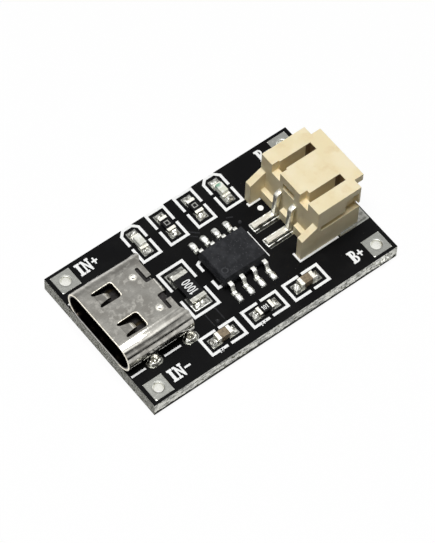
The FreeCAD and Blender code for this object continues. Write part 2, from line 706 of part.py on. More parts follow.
ledges = [
    prism_y(ledge_outline, cell_right + WING_THICKNESS, pin_y[0] - LEDGE_GAP / 2),
    prism_y(ledge_outline, pin_y[0] + LEDGE_GAP / 2, pin_y[1] - LEDGE_GAP / 2),
    prism_y(ledge_outline, pin_y[1] + LEDGE_GAP / 2, cell_left - WING_THICKNESS),
]
housing = fuse_all([housing, lip] + wings + ledges)
cell_cuts = [box(
    CELL_WALL_X + CELL_REAR_WALL, CELL_LIP_FRONT_X,
    cell_right + CELL_SIDE_WALL, cell_left - CELL_SIDE_WALL,
    TOP + CELL_TOP_WALL, CELL_TOP_Z - CELL_ROOF_THICKNESS,
)]
for low, high in CELL_KEY_SLOTS:
    cell_cuts.append(box(
        CELL_KEY_STEP_X, CELL_KEY_FRONT_X, CELL_Y + low, CELL_Y + high,
        CELL_TOP_Z - CELL_ROOF_THICKNESS, CELL_TOP_Z,
    ))
for side in (-1, 1):
    low, high = sorted((side * CELL_NOTCH_Y[0], side * CELL_NOTCH_Y[1]))
    cell_cuts.append(box(
        CELL_WALL_X, CELL_KEY_STEP_X, CELL_Y + low, CELL_Y + high,
        TOP + CELL_NOTCH_FLOOR, CELL_TOP_Z,
    ))
    low, high = sorted((side * (CELL_SIDE - CELL_GROOVE_DEPTH), side * CELL_SIDE))
    cell_cuts.append(box(
        CELL_GROOVE_BACK_X, CELL_SIDE_FRONT_X, CELL_Y + low, CELL_Y + high,
        TOP + CELL_GROOVE_Z[0], TOP + CELL_GROOVE_Z[1],
    ))
    low, high = sorted((side * (CELL_SIDE - CELL_WINDOW_DEPTH), side * CELL_SIDE))
    cell_cuts.append(box(
        CELL_WINDOW_X[0], CELL_WINDOW_X[1], CELL_Y + low, CELL_Y + high,
        TOP + CELL_GROOVE_Z[0], TOP + CELL_WINDOW_TOP,
    ))
cell_cuts.append(box(
    CELL_WALL_X, CELL_WALL_X + CELL_POCKET_DEPTH,
    PIN_CENTRE_Y - CELL_POCKET_HALF_WIDTH, PIN_CENTRE_Y + CELL_POCKET_HALF_WIDTH,
    TOP + CELL_POCKET_Z[0], TOP + CELL_POCKET_Z[1],
))
pins = [
    strip_in_xz([
        (PIN_TIP_X, TOP + PIN_HEIGHT),
        (PIN_DROP_X, TOP + PIN_HEIGHT),
        (PIN_ANKLE_X, TOP + PIN_THICKNESS / 2),
        (PIN_FOOT_X, TOP + PIN_THICKNESS / 2),
    ], PIN_BEND_RADIUS, PIN_THICKNESS, y, PIN_WIDTH)
    for y in pin_y
]
tabs = []
for side in (-1, 1):
    low, high = sorted((side * TAB_INNER_Y, side * TAB_OUTER_Y))
    plate = box(TAB_BACK_X, TAB_FRONT_X, low, high, TOP, TOP + TAB_THICKNESS)
    upright_y = CELL_Y + side * (CELL_SIDE - CELL_SIDE_WALL / 2)
    upright = box(
        TAB_BACK_X, TAB_UPRIGHT_FRONT_X,
        upright_y - TAB_THICKNESS / 2, upright_y + TAB_THICKNESS / 2,
        TOP, TOP + TAB_UPRIGHT_HEIGHT,
    )
    tabs.append(fuse_all([plate, upright]))
housing = housing.cut(cell_cuts + pins + tabs)
save("cell_housing", shifted([housing], CELL_END))
save("cell_pins", shifted(pins, CELL_END))
save("cell_tabs", shifted(tabs, CELL_END))

# Solder under and beside the pins' feet
pin_solder = []
for y in pin_pad_y:
    half = PIN_PAD_WIDTH / 2 - PIN_SOLDER_INSET
    slab = box(
        PIN_PAD_BACK_X + PIN_SOLDER_INSET / 2, PIN_SOLDER_FRONT_X, y - half, y + half,
        TOP, TOP + PIN_SOLDER_HEIGHT,
    )
    pin_solder.append(slab.cut(pins))
save("pin_solder", shifted(pin_solder, CELL_END))

# Charger chip: drafted body, gull-wing leads, solder joints
def chip_section(inset, height):
    x = CHIP_LENGTH / 2 - inset
    y = CHIP_WIDTH / 2 - inset
    corners = [(-x, -y), (x, -y), (x, y), (-x, y), (-x, -y)]
    return Part.makePolygon([Vector(CHIP_X + a, CHIP_Y + b, TOP + height) for a, b in corners])


lower_half = Part.makeLoft(
    [chip_section(CHIP_BOTTOM_INSET, CHIP_UNDERSIDE), chip_section(0, CHIP_PARTING)], True, True,
)
upper_half = Part.makeLoft(
    [chip_section(0, CHIP_PARTING), chip_section(CHIP_TOP_INSET, CHIP_HEIGHT)], True, True,
)
leads = []
for x, side in lead_places:
    leads.append(strip_in_yz([
        (CHIP_Y + side * LEAD_ROOT_Y, TOP + LEAD_EXIT_HEIGHT),
        (CHIP_Y + side * LEAD_SHOULDER_Y, TOP + LEAD_EXIT_HEIGHT),
        (CHIP_Y + side * LEAD_ANKLE_Y, TOP + LEAD_THICKNESS / 2),
        (CHIP_Y + side * LEAD_TOE_Y, TOP + LEAD_THICKNESS / 2),
    ], LEAD_BEND_RADIUS, LEAD_THICKNESS, x, LEAD_WIDTH))
dimple = Part.makeCylinder(
    CHIP_DIMPLE_RADIUS, CHIP_DIMPLE_DEPTH,
    Vector(CHIP_X + CHIP_DIMPLE_X, CHIP_Y + CHIP_DIMPLE_Y, TOP + CHIP_HEIGHT - CHIP_DIMPLE_DEPTH),
)
save("chip_body", [lower_half.fuse(upper_half).cut(leads + [dimple])])
save("chip_leads", leads)
chip_solder = []
for x, side in lead_places:
    pad_mid_y = CHIP_Y + side * (LEAD_PAD_INNER_Y + LEAD_PAD_OUTER_Y) / 2
    pad_length = LEAD_PAD_OUTER_Y - LEAD_PAD_INNER_Y
    limits = limits_round(
        x, pad_mid_y, LEAD_PAD_WIDTH - 2 * LEAD_SOLDER_INSET, pad_length - 2 * LEAD_SOLDER_INSET,
    )
    mound = solder_mound(rectangle, limits, LEAD_SOLDER_HEIGHT, LEAD_SOLDER_SLOPE)
    chip_solder.append(mound.cut(leads))
save("chip_solder", chip_solder)


def two_ended(direction, centre, length, width, height, end, wrap_sides):
    """Body and the two metal ends that wrap it."""
    film = END_FILM
    inner_half = width / 2 - (film if wrap_sides else 0)
    waist = length / 2 - end
    body = block_along(direction, centre, -waist, waist, width / 2, TOP, TOP + height)
    core_bar = block_along(
        direction, centre, -length / 2 + film, length / 2 - film, inner_half,
        TOP + film, TOP + height - film,
    )
    body = fuse_all([body, core_bar])
    caps = []
    for side in (-1, 1):
        low, high = sorted((side * (length / 2 - end), side * length / 2))
        cap = block_along(direction, centre, low, high, width / 2, TOP, TOP + height)
        caps.append(cap.cut(body))
    return body, caps


def end_solder(direction, centre, length, width, pad_outer, height):
    """Hollow-faced wedges of solder from the metal ends down to the pad's edge."""
    wedges = []
    rise = height * SOLDER_RISE_RATIO
    for side in (-1, 1):
        start = side * length / 2
        reach = side * pad_outer
        x0, y0 = along(direction, centre, start, -width / 2)
        x1, y1 = along(direction, centre, reach, -width / 2)
        foot_a = Vector(x0, y0, TOP)
        foot_b = Vector(x1, y1, TOP)
        head = Vector(x0, y0, TOP + rise)
        middle = foot_a + (foot_b - foot_a + head - foot_a) * SOLDER_HOLLOW_RATIO
        edges = [
            Part.makeLine(foot_a, foot_b),
            Part.Arc(foot_b, middle, head).toShape(),
            Part.makeLine(head, foot_a),
        ]
        sweep = Vector(0, width, 0) if direction == "x" else Vector(width, 0, 0)
        wedges.append(Part.Face(Part.Wire(edges)).extrude(sweep))
    return wedges


# Small resistors: dark coat over the body, metal at both ends
resistor_bodies = []
resistor_ends = []
small_solder = []
for direction, centre in resistor_places:
    body, caps = two_ended(
        direction, centre, SMALL_LENGTH, SMALL_WIDTH, RESISTOR_HEIGHT, SMALL_END, False,
    )
    resistor_bodies.append(body)
    resistor_ends += caps
    small_solder += end_solder(
        direction, centre, SMALL_LENGTH, SMALL_WIDTH, SMALL_PAD_OUTER, RESISTOR_HEIGHT,
    )
save("resistor_bodies", resistor_bodies)
save("resistor_ends", resistor_ends)

# Capacitors
capacitor_bodies = []
capacitor_ends = []
for direction, centre in capacitor_places:
    body, caps = two_ended(
        direction, centre, SMALL_LENGTH, SMALL_WIDTH, CAPACITOR_HEIGHT, CAPACITOR_END, True,
    )
    capacitor_bodies.append(body)
    capacitor_ends += caps
    small_solder += end_solder(
        direction, centre, SMALL_LENGTH, SMALL_WIDTH, SMALL_PAD_OUTER, CAPACITOR_HEIGHT,
    )
save("capacitor_bodies", capacitor_bodies)
save("capacitor_ends", capacitor_ends)

# Indicator lamps: base with metal ends, lens on top
lamp_bases = []
lamp_ends = []
lamp_lenses = []
for direction, centre in lamp_places:
    body, caps = two_ended(
        direction, centre, SMALL_LENGTH, SMALL_WIDTH, LAMP_BASE_HEIGHT, SMALL_END, False,
    )
    lamp_bases.append(body)
    lamp_ends += caps
    sections = []
    for inset, height in ((0, LAMP_BASE_HEIGHT), (LAMP_LENS_INSET, LAMP_LENS_HEIGHT)):
        half_length = LAMP_LENS_LENGTH / 2 - inset
        half_width = LAMP_LENS_WIDTH / 2 - inset
        corners = [(-1, -1), (1, -1), (1, 1), (-1, 1), (-1, -1)]
        points = [along(direction, centre, a * half_length, b * half_width) for a, b in corners]
        sections.append(Part.makePolygon([Vector(x, y, TOP + height) for x, y in points]))
    lamp_lenses.append(Part.makeLoft(sections, True, True))
    small_solder += end_solder(
        direction, centre, SMALL_LENGTH, SMALL_WIDTH, SMALL_PAD_OUTER, LAMP_BASE_HEIGHT,
    )
save("lamp_bases", lamp_bases)
save("lamp_ends", lamp_ends)
save("lamp_lens_input", [lamp_lenses[0]])
save("lamp_lens_cell", [lamp_lenses[1]])
save("small_solder", small_solder)

# Current sense resistor
sense_body, sense_caps = two_ended(
    *sense_place, SENSE_LENGTH, SENSE_WIDTH, SENSE_HEIGHT, SENSE_END, False,
)
save("sense_body", [sense_body])
save("sense_ends", sense_caps)
save("sense_solder", end_solder(
    *sense_place, SENSE_LENGTH, SENSE_WIDTH, SENSE_PAD_OUTER, SENSE_HEIGHT,
))


def stroke(points, width):
    """Printed line of constant width through the points, with mitred corners.
    Its square ends reach half a width past the first and last point."""
    half = width / 2
    places = [Vector(x, y, 0) for x, y in points]
    headings = []
    for index in range(len(places) - 1):
        headings.append((places[index + 1] - places[index]).normalize())
    places[0] = places[0] - headings[0] * half
    places[-1] = places[-1] + headings[-1] * half
    left_edge = []
    right_edge = []
    for index, place in enumerate(places):
        before = headings[max(index - 1, 0)]
        after = headings[min(index, len(headings) - 1)]
        across = Vector(-before.y - after.y, before.x + after.x, 0)
        mitre = across * (half / (1 + before.dot(after)))
        left_edge.append(place + mitre)
        right_edge.append(place - mitre)
    outline = [(point.x, point.y) for point in left_edge + right_edge[::-1]]
    return prism_z(outline, TOP, TOP + INK_THICKNESS)


def frame_half(direction, centre, side, half_length, half_width, gap, chamfer):
    end = side * half_length
    inner = side * gap
    if chamfer == 0:
        outline = [(inner, -half_width), (end, -half_width), (end, half_width), (inner, half_width)]
    else:
        near = end - side * chamfer
        outline = [
            (inner, -half_width), (near, -half_width), (end, -half_width + chamfer),
            (end, half_width - chamfer), (near, half_width), (inner, half_width),
        ]
    return stroke([along(direction, centre, a, b) for a, b in outline], INK_WIDTH)


# White print: a pair of brackets round each small part
ink = []
for direction, centre in small_places:
    for side in (-1, 1):
        chamfer = FRAME_CHAMFER if (direction, centre) in lamp_places and side == 1 else 0
        ink.append(frame_half(
            direction, centre, side, FRAME_HALF_LENGTH, FRAME_HALF_WIDTH, FRAME_GAP, chamfer,
        ))
for side in (-1, 1):
    ink.append(frame_half(
        *sense_place, side, SENSE_FRAME_HALF_LENGTH, SENSE_FRAME_HALF_WIDTH, SENSE_FRAME_GAP, 0,
    ))
save("print_frames", ink)

# White print round the chip
outline_ink = [
    stroke([
        (CHIP_X + CHIP_MARK_X + CHIP_MARK_HOOK, CHIP_Y + CHIP_MARK_UPPER_Y[1]),
        (CHIP_X + CHIP_MARK_X, CHIP_Y + CHIP_MARK_UPPER_Y[1] - CHIP_MARK_HOOK / 2),
        (CHIP_X + CHIP_MARK_X, CHIP_Y + CHIP_MARK_UPPER_Y[0]),
    ], INK_WIDTH),
    stroke([
        (CHIP_X + CHIP_MARK_X, CHIP_Y + CHIP_MARK_LOWER_Y[1]),
        (CHIP_X + CHIP_MARK_X, CHIP_Y + CHIP_MARK_LOWER_Y[0]),
        (CHIP_X + CHIP_MARK_X + CHIP_MARK_HOOK, CHIP_Y + CHIP_MARK_LOWER_Y[0]),
    ], INK_WIDTH),
    stroke([
        (CHIP_X + CHIP_HAIRLINE_X, CHIP_Y + CHIP_HAIRLINE_Y[0]),
        (CHIP_X + CHIP_HAIRLINE_X, CHIP_Y + CHIP_HAIRLINE_Y[1]),
    ], INK_HAIR_WIDTH),
]

# White print beside the input socket
shell_ink = []
for side in (-1, 1):
    for start, end in SHELL_MARK_X:
        ends = [(start, side * SHELL_MARK_Y), (end, side * SHELL_MARK_Y)]
        shell_ink.append(stroke(ends, INK_FINE_WIDTH))
outline_ink += shifted(shell_ink, INPUT_END)

# White print round the cell connector, with the pin one dot
connector_ink = []
ink_offset = INK_FINE_WIDTH / 2 + PRINT_CLEARANCE
wing_ink_x = WING_BACK_X - ink_offset
left_inner_ink_y = cell_left - WING_THICKNESS - ink_offset
left_outer_ink_y = cell_left + ink_offset
right_inner_ink_y = cell_right + WING_THICKNESS + ink_offset
right_outer_ink_y = cell_right - ink_offset
connector_ink.append(stroke([
    (wing_ink_x, right_inner_ink_y),
    (wing_ink_x, right_outer_ink_y),
    (CELL_MARK_FRONT_X, right_outer_ink_y),
], INK_FINE_WIDTH))
connector_ink.append(stroke([
    (wing_ink_x, left_inner_ink_y + INK_FINE_WIDTH),
    (wing_ink_x, left_inner_ink_y),
    (CELL_MARK_INNER_X, left_inner_ink_y),
], INK_FINE_WIDTH))
connector_ink.append(stroke([
    (CELL_MARK_INNER_X, left_outer_ink_y),
    (CELL_MARK_FRONT_X, left_outer_ink_y),
], INK_FINE_WIDTH))
dot_centre = Vector(PIN_DOT[0], PIN_DOT[1], TOP)
connector_ink.append(Part.makeCylinder(PIN_DOT_RADIUS, INK_THICKNESS, dot_centre))
outline_ink += shifted(connector_ink, CELL_END)
save("print_outlines", outline_ink)
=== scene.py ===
# %% [markdown]
# A small charger module for one lithium cell: a black circuit board with a metal input
# socket at one end, a cream cell connector at the other and a chip with a few small parts
# between them. The CAD model arrives as a finished frame of named solids in metres, and this
# script dresses it. Solids whose shape is right keep their mesh and get a finish. Solder, the
# torn board edge and the plated wire holes are modelled again here, because their lumps and
# fibres are too irregular for CAD.

import math

import bpy
from mathutils import Matrix, Vector, noise
from mathutils.geometry import tessellate_polygon


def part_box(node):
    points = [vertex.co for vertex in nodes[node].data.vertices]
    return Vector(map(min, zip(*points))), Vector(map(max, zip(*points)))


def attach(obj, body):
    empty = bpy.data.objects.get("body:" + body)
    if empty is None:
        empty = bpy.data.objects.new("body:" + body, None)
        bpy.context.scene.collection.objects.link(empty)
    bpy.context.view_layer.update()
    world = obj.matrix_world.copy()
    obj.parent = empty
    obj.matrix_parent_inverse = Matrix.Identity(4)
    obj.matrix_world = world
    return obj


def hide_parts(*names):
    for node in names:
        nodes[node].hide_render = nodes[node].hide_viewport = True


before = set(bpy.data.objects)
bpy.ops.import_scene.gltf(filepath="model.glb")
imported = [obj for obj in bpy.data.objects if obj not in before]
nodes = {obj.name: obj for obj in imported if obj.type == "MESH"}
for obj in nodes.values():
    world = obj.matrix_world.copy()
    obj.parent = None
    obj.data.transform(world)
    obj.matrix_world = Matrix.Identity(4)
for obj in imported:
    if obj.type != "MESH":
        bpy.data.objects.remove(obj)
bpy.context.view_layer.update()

# %% [markdown]
# Everything on this object is small, so sizes are easiest to think of in millimetres. Blender
# works in metres here, so one constant turns the one into the other. The board's own faces and
# edges are read from the frame, so that what is added sits where the CAD solids are.

# %% Sizes read from the frame
MM = 0.001


def top_of(node):
    """Height of a CAD node's top above the table, in millimetres."""
    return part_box(node)[1].z / MM


BOARD_TOP = top_of("mask_top")
BOARD_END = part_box("mask_top")[1].x / MM
BOARD_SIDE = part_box("mask_top")[1].y / MM
CORE_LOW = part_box("board_core")[0].z / MM
CORE_HIGH = top_of("board_core")
print("board", 2 * BOARD_END, "x", 2 * BOARD_SIDE, "mm, top at", BOARD_TOP)

# %% [markdown]
# The camera stands where the photographer's did: a long lens, high over the near left corner,
# so that the board's edges stay almost parallel. The three rows of the rotation are the
# camera's right, up and backward directions.

# %% Camera
PHOTO_WIDTH = 435
FOCAL_PIXELS = 3154.19
SENSOR_WIDTH = 36.0
CAMERA_PLACE = Vector((-0.096517, -0.113634, 0.238324))
CAMERA_RIGHT = Vector((0.789464, -0.613250, 0.025894))
CAMERA_UP = Vector((0.50936, 0.67810, 0.52985))

scene = bpy.context.scene
camera_data = bpy.data.cameras.new("photo_camera")
camera_data.sensor_fit = "HORIZONTAL"
camera_data.sensor_width = SENSOR_WIDTH
camera_data.lens = SENSOR_WIDTH * FOCAL_PIXELS / PHOTO_WIDTH
camera_data.clip_start = 0.01
camera = bpy.data.objects.new("photo_camera", camera_data)
scene.collection.objects.link(camera)
turn = Matrix((CAMERA_RIGHT, CAMERA_UP, CAMERA_RIGHT.cross(CAMERA_UP))).transposed()
camera.matrix_world = Matrix.Translation(CAMERA_PLACE) @ turn.to_4x4()
scene.camera = camera
print("lens", round(camera_data.lens, 1), "mm")

# %% [markdown]
# Lights and surfaces in Blender are graphs of nodes. A few helpers keep the graphs readable. One
# adds a node and fills its inputs with numbers or with other nodes' outputs, one does a sum, and
# one turns the span between two values into the span from 0 to 1. A ray mask tells what the
# camera sees, straight, mirrored or through glass, from the light that only fills the shadows.

# %% Node helpers
def feed(tree, socket, value):
    """Links an output to a socket, or writes a plain value on it."""
    if isinstance(value, bpy.types.NodeSocket):
        tree.links.new(value, socket)
    else:
        socket.default_value = value


def add_node(tree, kind, **values):
    """New node, with inputs named as in From_Min for From Min."""
    node = tree.nodes.new("ShaderNode" + kind)
    for label, value in values.items():
        feed(tree, node.inputs[label.replace("_", " ")], value)
    return node


def calculate(tree, operation, first, second=0.0):
    node = tree.nodes.new("ShaderNodeMath")
    node.operation = operation
    feed(tree, node.inputs[0], first)
    feed(tree, node.inputs[1], second)
    return node.outputs[0]


def spread(tree, value, low, high, smooth=False):
    """0 at the low value and 1 at the high one."""
    node = add_node(tree, "MapRange", Value=value, From_Min=low, From_Max=high)
    if smooth:
        node.interpolation_type = "SMOOTHSTEP"
    return node.outputs["Result"]


def axes(tree, vector):
    """The X, Y and Z outputs of a vector."""
    return add_node(tree, "SeparateXYZ", Vector=vector).outputs


def ray_mask(tree):
    path = add_node(tree, "LightPath").outputs
    seen_or_mirrored = calculate(tree, "MAXIMUM", path["Is Camera Ray"], path["Is Glossy Ray"])
    return calculate(tree, "MAXIMUM", seen_or_mirrored, path["Is Transmission Ray"])


def mix_shaders(tree, share, first, second):
    """The first shader where share is 0, and the second where it is 1."""
    node = tree.nodes.new("ShaderNodeMixShader")
    for socket, value in zip(node.inputs, (share, first.outputs[0], second.outputs[0])):
        feed(tree, socket, value)
    return node


# %% [markdown]
# The photograph was lit by a soft box straight overhead, on a white table: tops are bright and
# upright faces are about a fifth as bright. The box is kept small enough that flat metal does
# not mirror it, so the shell's top stays grey while its rolled sides and the solder flash. The
# world is faint for the light that falls on matt surfaces. The camera sees it white. Metal and
# glass see a photographer's room. On the far side it is plain grey and lighter low down. On the
# near side a bright ceiling panel, a dark gap, a lit wall and a dark foot lie above one another,
# which draws the light and dark lines along the shell's rolled side. The walls to the left and
# right are bright, and every metal edge that looks that way gets a thin light rim.

# %% World and lamp
WHITE = (1.0, 1.0, 1.0, 1.0)
WORLD_FILL = 0.06
FAR_GREYS = [(0.0, 0.8), (0.15, 0.62), (0.3, 0.48), (0.6, 0.42), (0.84, 0.6), (0.94, 1.0)]
NEAR_GREYS = [
    (0.0, 0.02), (0.24, 0.02), (0.36, 0.7), (0.44, 0.75), (0.56, 0.5), (0.64, 0.05), (0.72, 0.1),
    (0.8, 0.9), (0.86, 1.9), (0.91, 1.6), (0.96, 0.9),
]
NEAR_TO_FAR = (-0.1, 0.1)
END_WALL_STARTS = (0.55, 0.75)
END_WALL_GREY = 1.3
LAMP_PLACE = (-0.032, -0.005, 0.35)
LAMP_SIZE = 0.15
LAMP_WATTS = 1.12

world = bpy.data.worlds.new("white_room")
world.use_nodes = True
scene.world = world
tree = world.node_tree
tree.nodes.clear()
way = axes(tree, add_node(tree, "TexCoord").outputs["Generated"])


def room_side(greys):
    """Brightness of one side of the room against the sine of the height above the table."""
    ramp = add_node(tree, "ValToRGB", Fac=way["Z"])
    while len(ramp.color_ramp.elements) < len(greys):
        ramp.color_ramp.elements.new(1.0)
    for element, (sine_of_height, grey) in zip(ramp.color_ramp.elements, greys):
        element.position = sine_of_height
        element.color = (grey, grey, grey, 1.0)
    return ramp.outputs["Color"]


far_share = spread(tree, way["Y"], *NEAR_TO_FAR)
end_share = spread(tree, calculate(tree, "ABSOLUTE", way["X"]), *END_WALL_STARTS)
room = add_node(tree, "Mix", Factor=far_share, A=room_side(NEAR_GREYS), B=room_side(FAR_GREYS))
walls = add_node(tree, "Mix", Factor=end_share, A=room.outputs["Result"], B=END_WALL_GREY)
camera_ray = add_node(tree, "LightPath").outputs["Is Camera Ray"]
brightness = calculate(tree, "MAXIMUM", walls.outputs["Result"], camera_ray)
fill = add_node(tree, "Background", Strength=WORLD_FILL)
seen = add_node(tree, "Background", Color=WHITE, Strength=brightness)
surroundings = mix_shaders(tree, ray_mask(tree), fill, seen)
add_node(tree, "OutputWorld", Surface=surroundings.outputs[0])

lamp = bpy.data.lights.new("soft_box", "AREA")
lamp.shape = "SQUARE"
lamp.size = LAMP_SIZE
lamp.energy = LAMP_WATTS
soft_box = bpy.data.objects.new("soft_box", lamp)
soft_box.location = LAMP_PLACE
soft_box.rotation_euler = Vector(LAMP_PLACE).to_track_quat("Z", "Y").to_euler()
scene.collection.objects.link(soft_box)
print("lamp", LAMP_WATTS, "W over", LAMP_SIZE, "m, world nodes:", len(tree.nodes))

# %% [markdown]
# The table is one flat sheet, which isn't part of the object. It looks white to the camera and
# in reflections through its own light, and a share of plain matt surface is left in it so that
# the board still drops a soft shadow. For light that bounces, it is a mid grey: a fully white
# table would fill the upright faces, which the photograph shows dark.

# %% Table
TABLE_HALF = 0.6
TABLE_Z = -0.00002
SHADOW_SHARE = 0.12
TABLE_GLOW = 1.02
SEEN_GREY = (0.9, 0.9, 0.9, 1.0)
BOUNCE_GREY = (0.3, 0.3, 0.3, 1.0)

table_finish = bpy.data.materials.new("white_table")
table_finish.use_nodes = True
tree = table_finish.node_tree
tree.nodes.clear()
matt = add_node(tree, "BsdfDiffuse", Color=SEEN_GREY)
glow = add_node(tree, "Emission", Strength=TABLE_GLOW)
bounce = add_node(tree, "BsdfDiffuse", Color=BOUNCE_GREY)
lit = mix_shaders(tree, 1 - SHADOW_SHARE, matt, glow)
surface = mix_shaders(tree, ray_mask(tree), bounce, lit)
add_node(tree, "OutputMaterial", Surface=surface.outputs[0])

table_mesh = bpy.data.meshes.new("table")
signs = ((-1, -1), (1, -1), (1, 1), (-1, 1))
corners = [(x * TABLE_HALF, y * TABLE_HALF, TABLE_Z) for x, y in signs]
table_mesh.from_pydata(corners, [], [(0, 1, 2, 3)])
table_mesh.materials.append(table_finish)
table = bpy.data.objects.new("table", table_mesh)
scene.collection.objects.link(table)
print("table", 2 * TABLE_HALF, "m wide")

# %% [markdown]
# Effects that several finishes share are node groups, built once. A group here puts out only a
# mask or a height, never a shader. All of them measure the surface in millimetres from the
# object's own coordinates, so a grain has its real size and stays on the surface when the view
# changes.

# %% Node group helpers
def new_group(name, output, **inputs):
    """A group with number inputs and one output, and the input sockets as seen inside it."""
    group = bpy.data.node_groups.new(name, "ShaderNodeTree")
    for label, value in inputs.items():
        socket = group.interface.new_socket(
            name=label.replace("_", " "), in_out="INPUT", socket_type="NodeSocketFloat",
        )
        socket.default_value = value
    group.interface.new_socket(name=output, in_out="OUTPUT", socket_type="NodeSocketFloat")
    print("group", name, "puts out a", output.lower())
    return group, group.nodes.new("NodeGroupInput").outputs


def give_out(group, value):
    group.links.new(value, group.nodes.new("NodeGroupOutput").inputs[0])


def millimetres(tree):
    """Place on the object in millimetres."""
    scale = tree.nodes.new("ShaderNodeVectorMath")
    scale.operation = "SCALE"
    scale.inputs["Scale"].default_value = 1 / MM
    feed(tree, scale.inputs[0], add_node(tree, "TexCoord").outputs["Object"])
    return scale.outputs[0]


def cloud(tree, place, size, detail=2.0):
    """Noise whose lumps have this size."""
    scale = calculate(tree, "DIVIDE", 1.0, size)
    return add_node(tree, "TexNoise", Vector=place, Scale=scale, Detail=detail).outputs["Fac"]


def product(tree, *values):
    result = values[0]
    for value in values[1:]:
        result = calculate(tree, "MULTIPLY", result, value)
    return result


def square_sum(tree, first, second):
    return calculate(tree, "ADD", product(tree, first, first), product(tree, second, second))


# %% [markdown]
# Blotches are the most useful mask: soft patches of a chosen size, with a low and a high limit
# that set how much of the surface they cover and how crisp their edges are. They stand for
# uneven tinning, handling marks on steel and cloudiness in plastic.

# %% Group: blotches
blotches, given = new_group("blotches", "Mask", Size=1.0, Detail=3.0, Low=0.4, High=0.6)
patchy = cloud(blotches, millimetres(blotches), given["Size"], given["Detail"])
give_out(blotches, spread(blotches, patchy, given["Low"], given["High"], smooth=True))

# %% [markdown]
# Specks are small separate points, such as dust on the mask, pits in a casting or glass ends
# in cut laminate. A Voronoi texture gives the distance to the nearest of many scattered
# points, and only the places very near a point are kept.

# %% Group: specks
specks, given = new_group("specks", "Mask", Spacing=0.6, Radius=0.15, Chance=0.4)
pitch = calculate(specks, "DIVIDE", 1.0, given["Spacing"])
cells = add_node(specks, "TexVoronoi", Vector=millimetres(specks), Scale=pitch).outputs
near = spread(specks, cells["Distance"], given["Radius"], 0.0)
drawn_lot = add_node(specks, "SeparateColor", Color=cells["Color"]).outputs[0]
chosen = calculate(specks, "LESS_THAN", drawn_lot, given["Chance"])
give_out(specks, product(specks, near, chosen))

# %% [markdown]
# A lumpy height is two noises added together, a broad swell and a fine grain. Fed to a Bump
# node it gives plastic its moulded skin and solder its frozen ripples.

# %% Group: lumps
lumps, given = new_group("lumps", "Height", Swell_Size=0.5, Grain_Size=0.06, Grain_Share=0.3)
place = millimetres(lumps)
swell = cloud(lumps, place, given["Swell Size"])
grain = cloud(lumps, place, given["Grain Size"])
blend = add_node(lumps, "Mix", Factor=given["Grain Share"], A=swell, B=grain)
give_out(lumps, blend.outputs["Result"])

# %% [markdown]
# Streaks are a noise stretched along the board. They stand for rolling lines in sheet metal
# and for the layers of glass cloth in a cut board edge. The two stretches say how many
# millimetres one streak runs along the board and how thick it is across it.

# %% Group: streaks
streaks, given = new_group("streaks", "Mask", Run=3.0, Thickness=0.08, Low=0.4, High=0.6)
across = calculate(streaks, "DIVIDE", 1.0, given["Thickness"])
along = calculate(streaks, "DIVIDE", 1.0, given["Run"])
stretch = streaks.nodes.new("ShaderNodeVectorMath")
stretch.operation = "MULTIPLY"
scales = add_node(streaks, "CombineXYZ", X=along, Y=across, Z=across)
feed(streaks, stretch.inputs[0], millimetres(streaks))
feed(streaks, stretch.inputs[1], scales.outputs[0])
lines = cloud(streaks, stretch.outputs[0], 1.0, 4.0)
give_out(streaks, spread(streaks, lines, given["Low"], given["High"], smooth=True))

# %% [markdown]
# The long sides of the board were snapped and the short ends were milled. This mask tells them
# apart by the way that a face looks: it is 1 where the face looks along Y. It can be limited to
# the part of the side below a height, for the dark line along the board's foot.

# %% Group: snapped side
END_FACE_COSINE = 0.6

snapped_side, given = new_group("snapped_side", "Mask", Below=9.0)
facing = axes(snapped_side, add_node(snapped_side, "NewGeometry").outputs["True Normal"])
place = axes(snapped_side, millimetres(snapped_side))
sideways = calculate(snapped_side, "ABSOLUTE", facing["X"])
along_y = calculate(snapped_side, "LESS_THAN", sideways, END_FACE_COSINE)
low_enough = calculate(snapped_side, "LESS_THAN", place["Z"], given["Below"])
give_out(snapped_side, product(snapped_side, along_y, low_enough))

# %% [markdown]
# Some marks have one fixed place, such as the moulded dimple in the chip. A round patch is 1
# within its inner radius of an upright axis and fades to 0 at its outer radius.

# %% Group: round patch
round_patch, given = new_group("round_patch", "Mask", X=0.0, Y=0.0, Inner=0.2, Outer=0.3)
place = axes(round_patch, millimetres(round_patch))
gaps = [calculate(round_patch, "SUBTRACT", place[axis], given[axis]) for axis in ("X", "Y")]
distance = calculate(round_patch, "SQRT", square_sum(round_patch, *gaps))
give_out(round_patch, spread(round_patch, distance, given["Outer"], given["Inner"]))

# %% [markdown]
# The inside of the socket shell gets little light, so it is painted almost black there:
# painted shade. This mask is the tube inside the shell: a flat middle with round sides. The
# two spring fingers dip into it, so upward faces near the roof are left out.

# %% Group: inside of the shell
SHELL_FLAT_HALF = 2.87
SHELL_RADIUS = 1.6
SHELL_INNER_RADIUS = 1.42
SHELL_MIDDLE_Z = top_of("input_shell") - SHELL_RADIUS
FINGER_LOW_Z = 4.0
FINGER_FACE_COSINE = 0.3

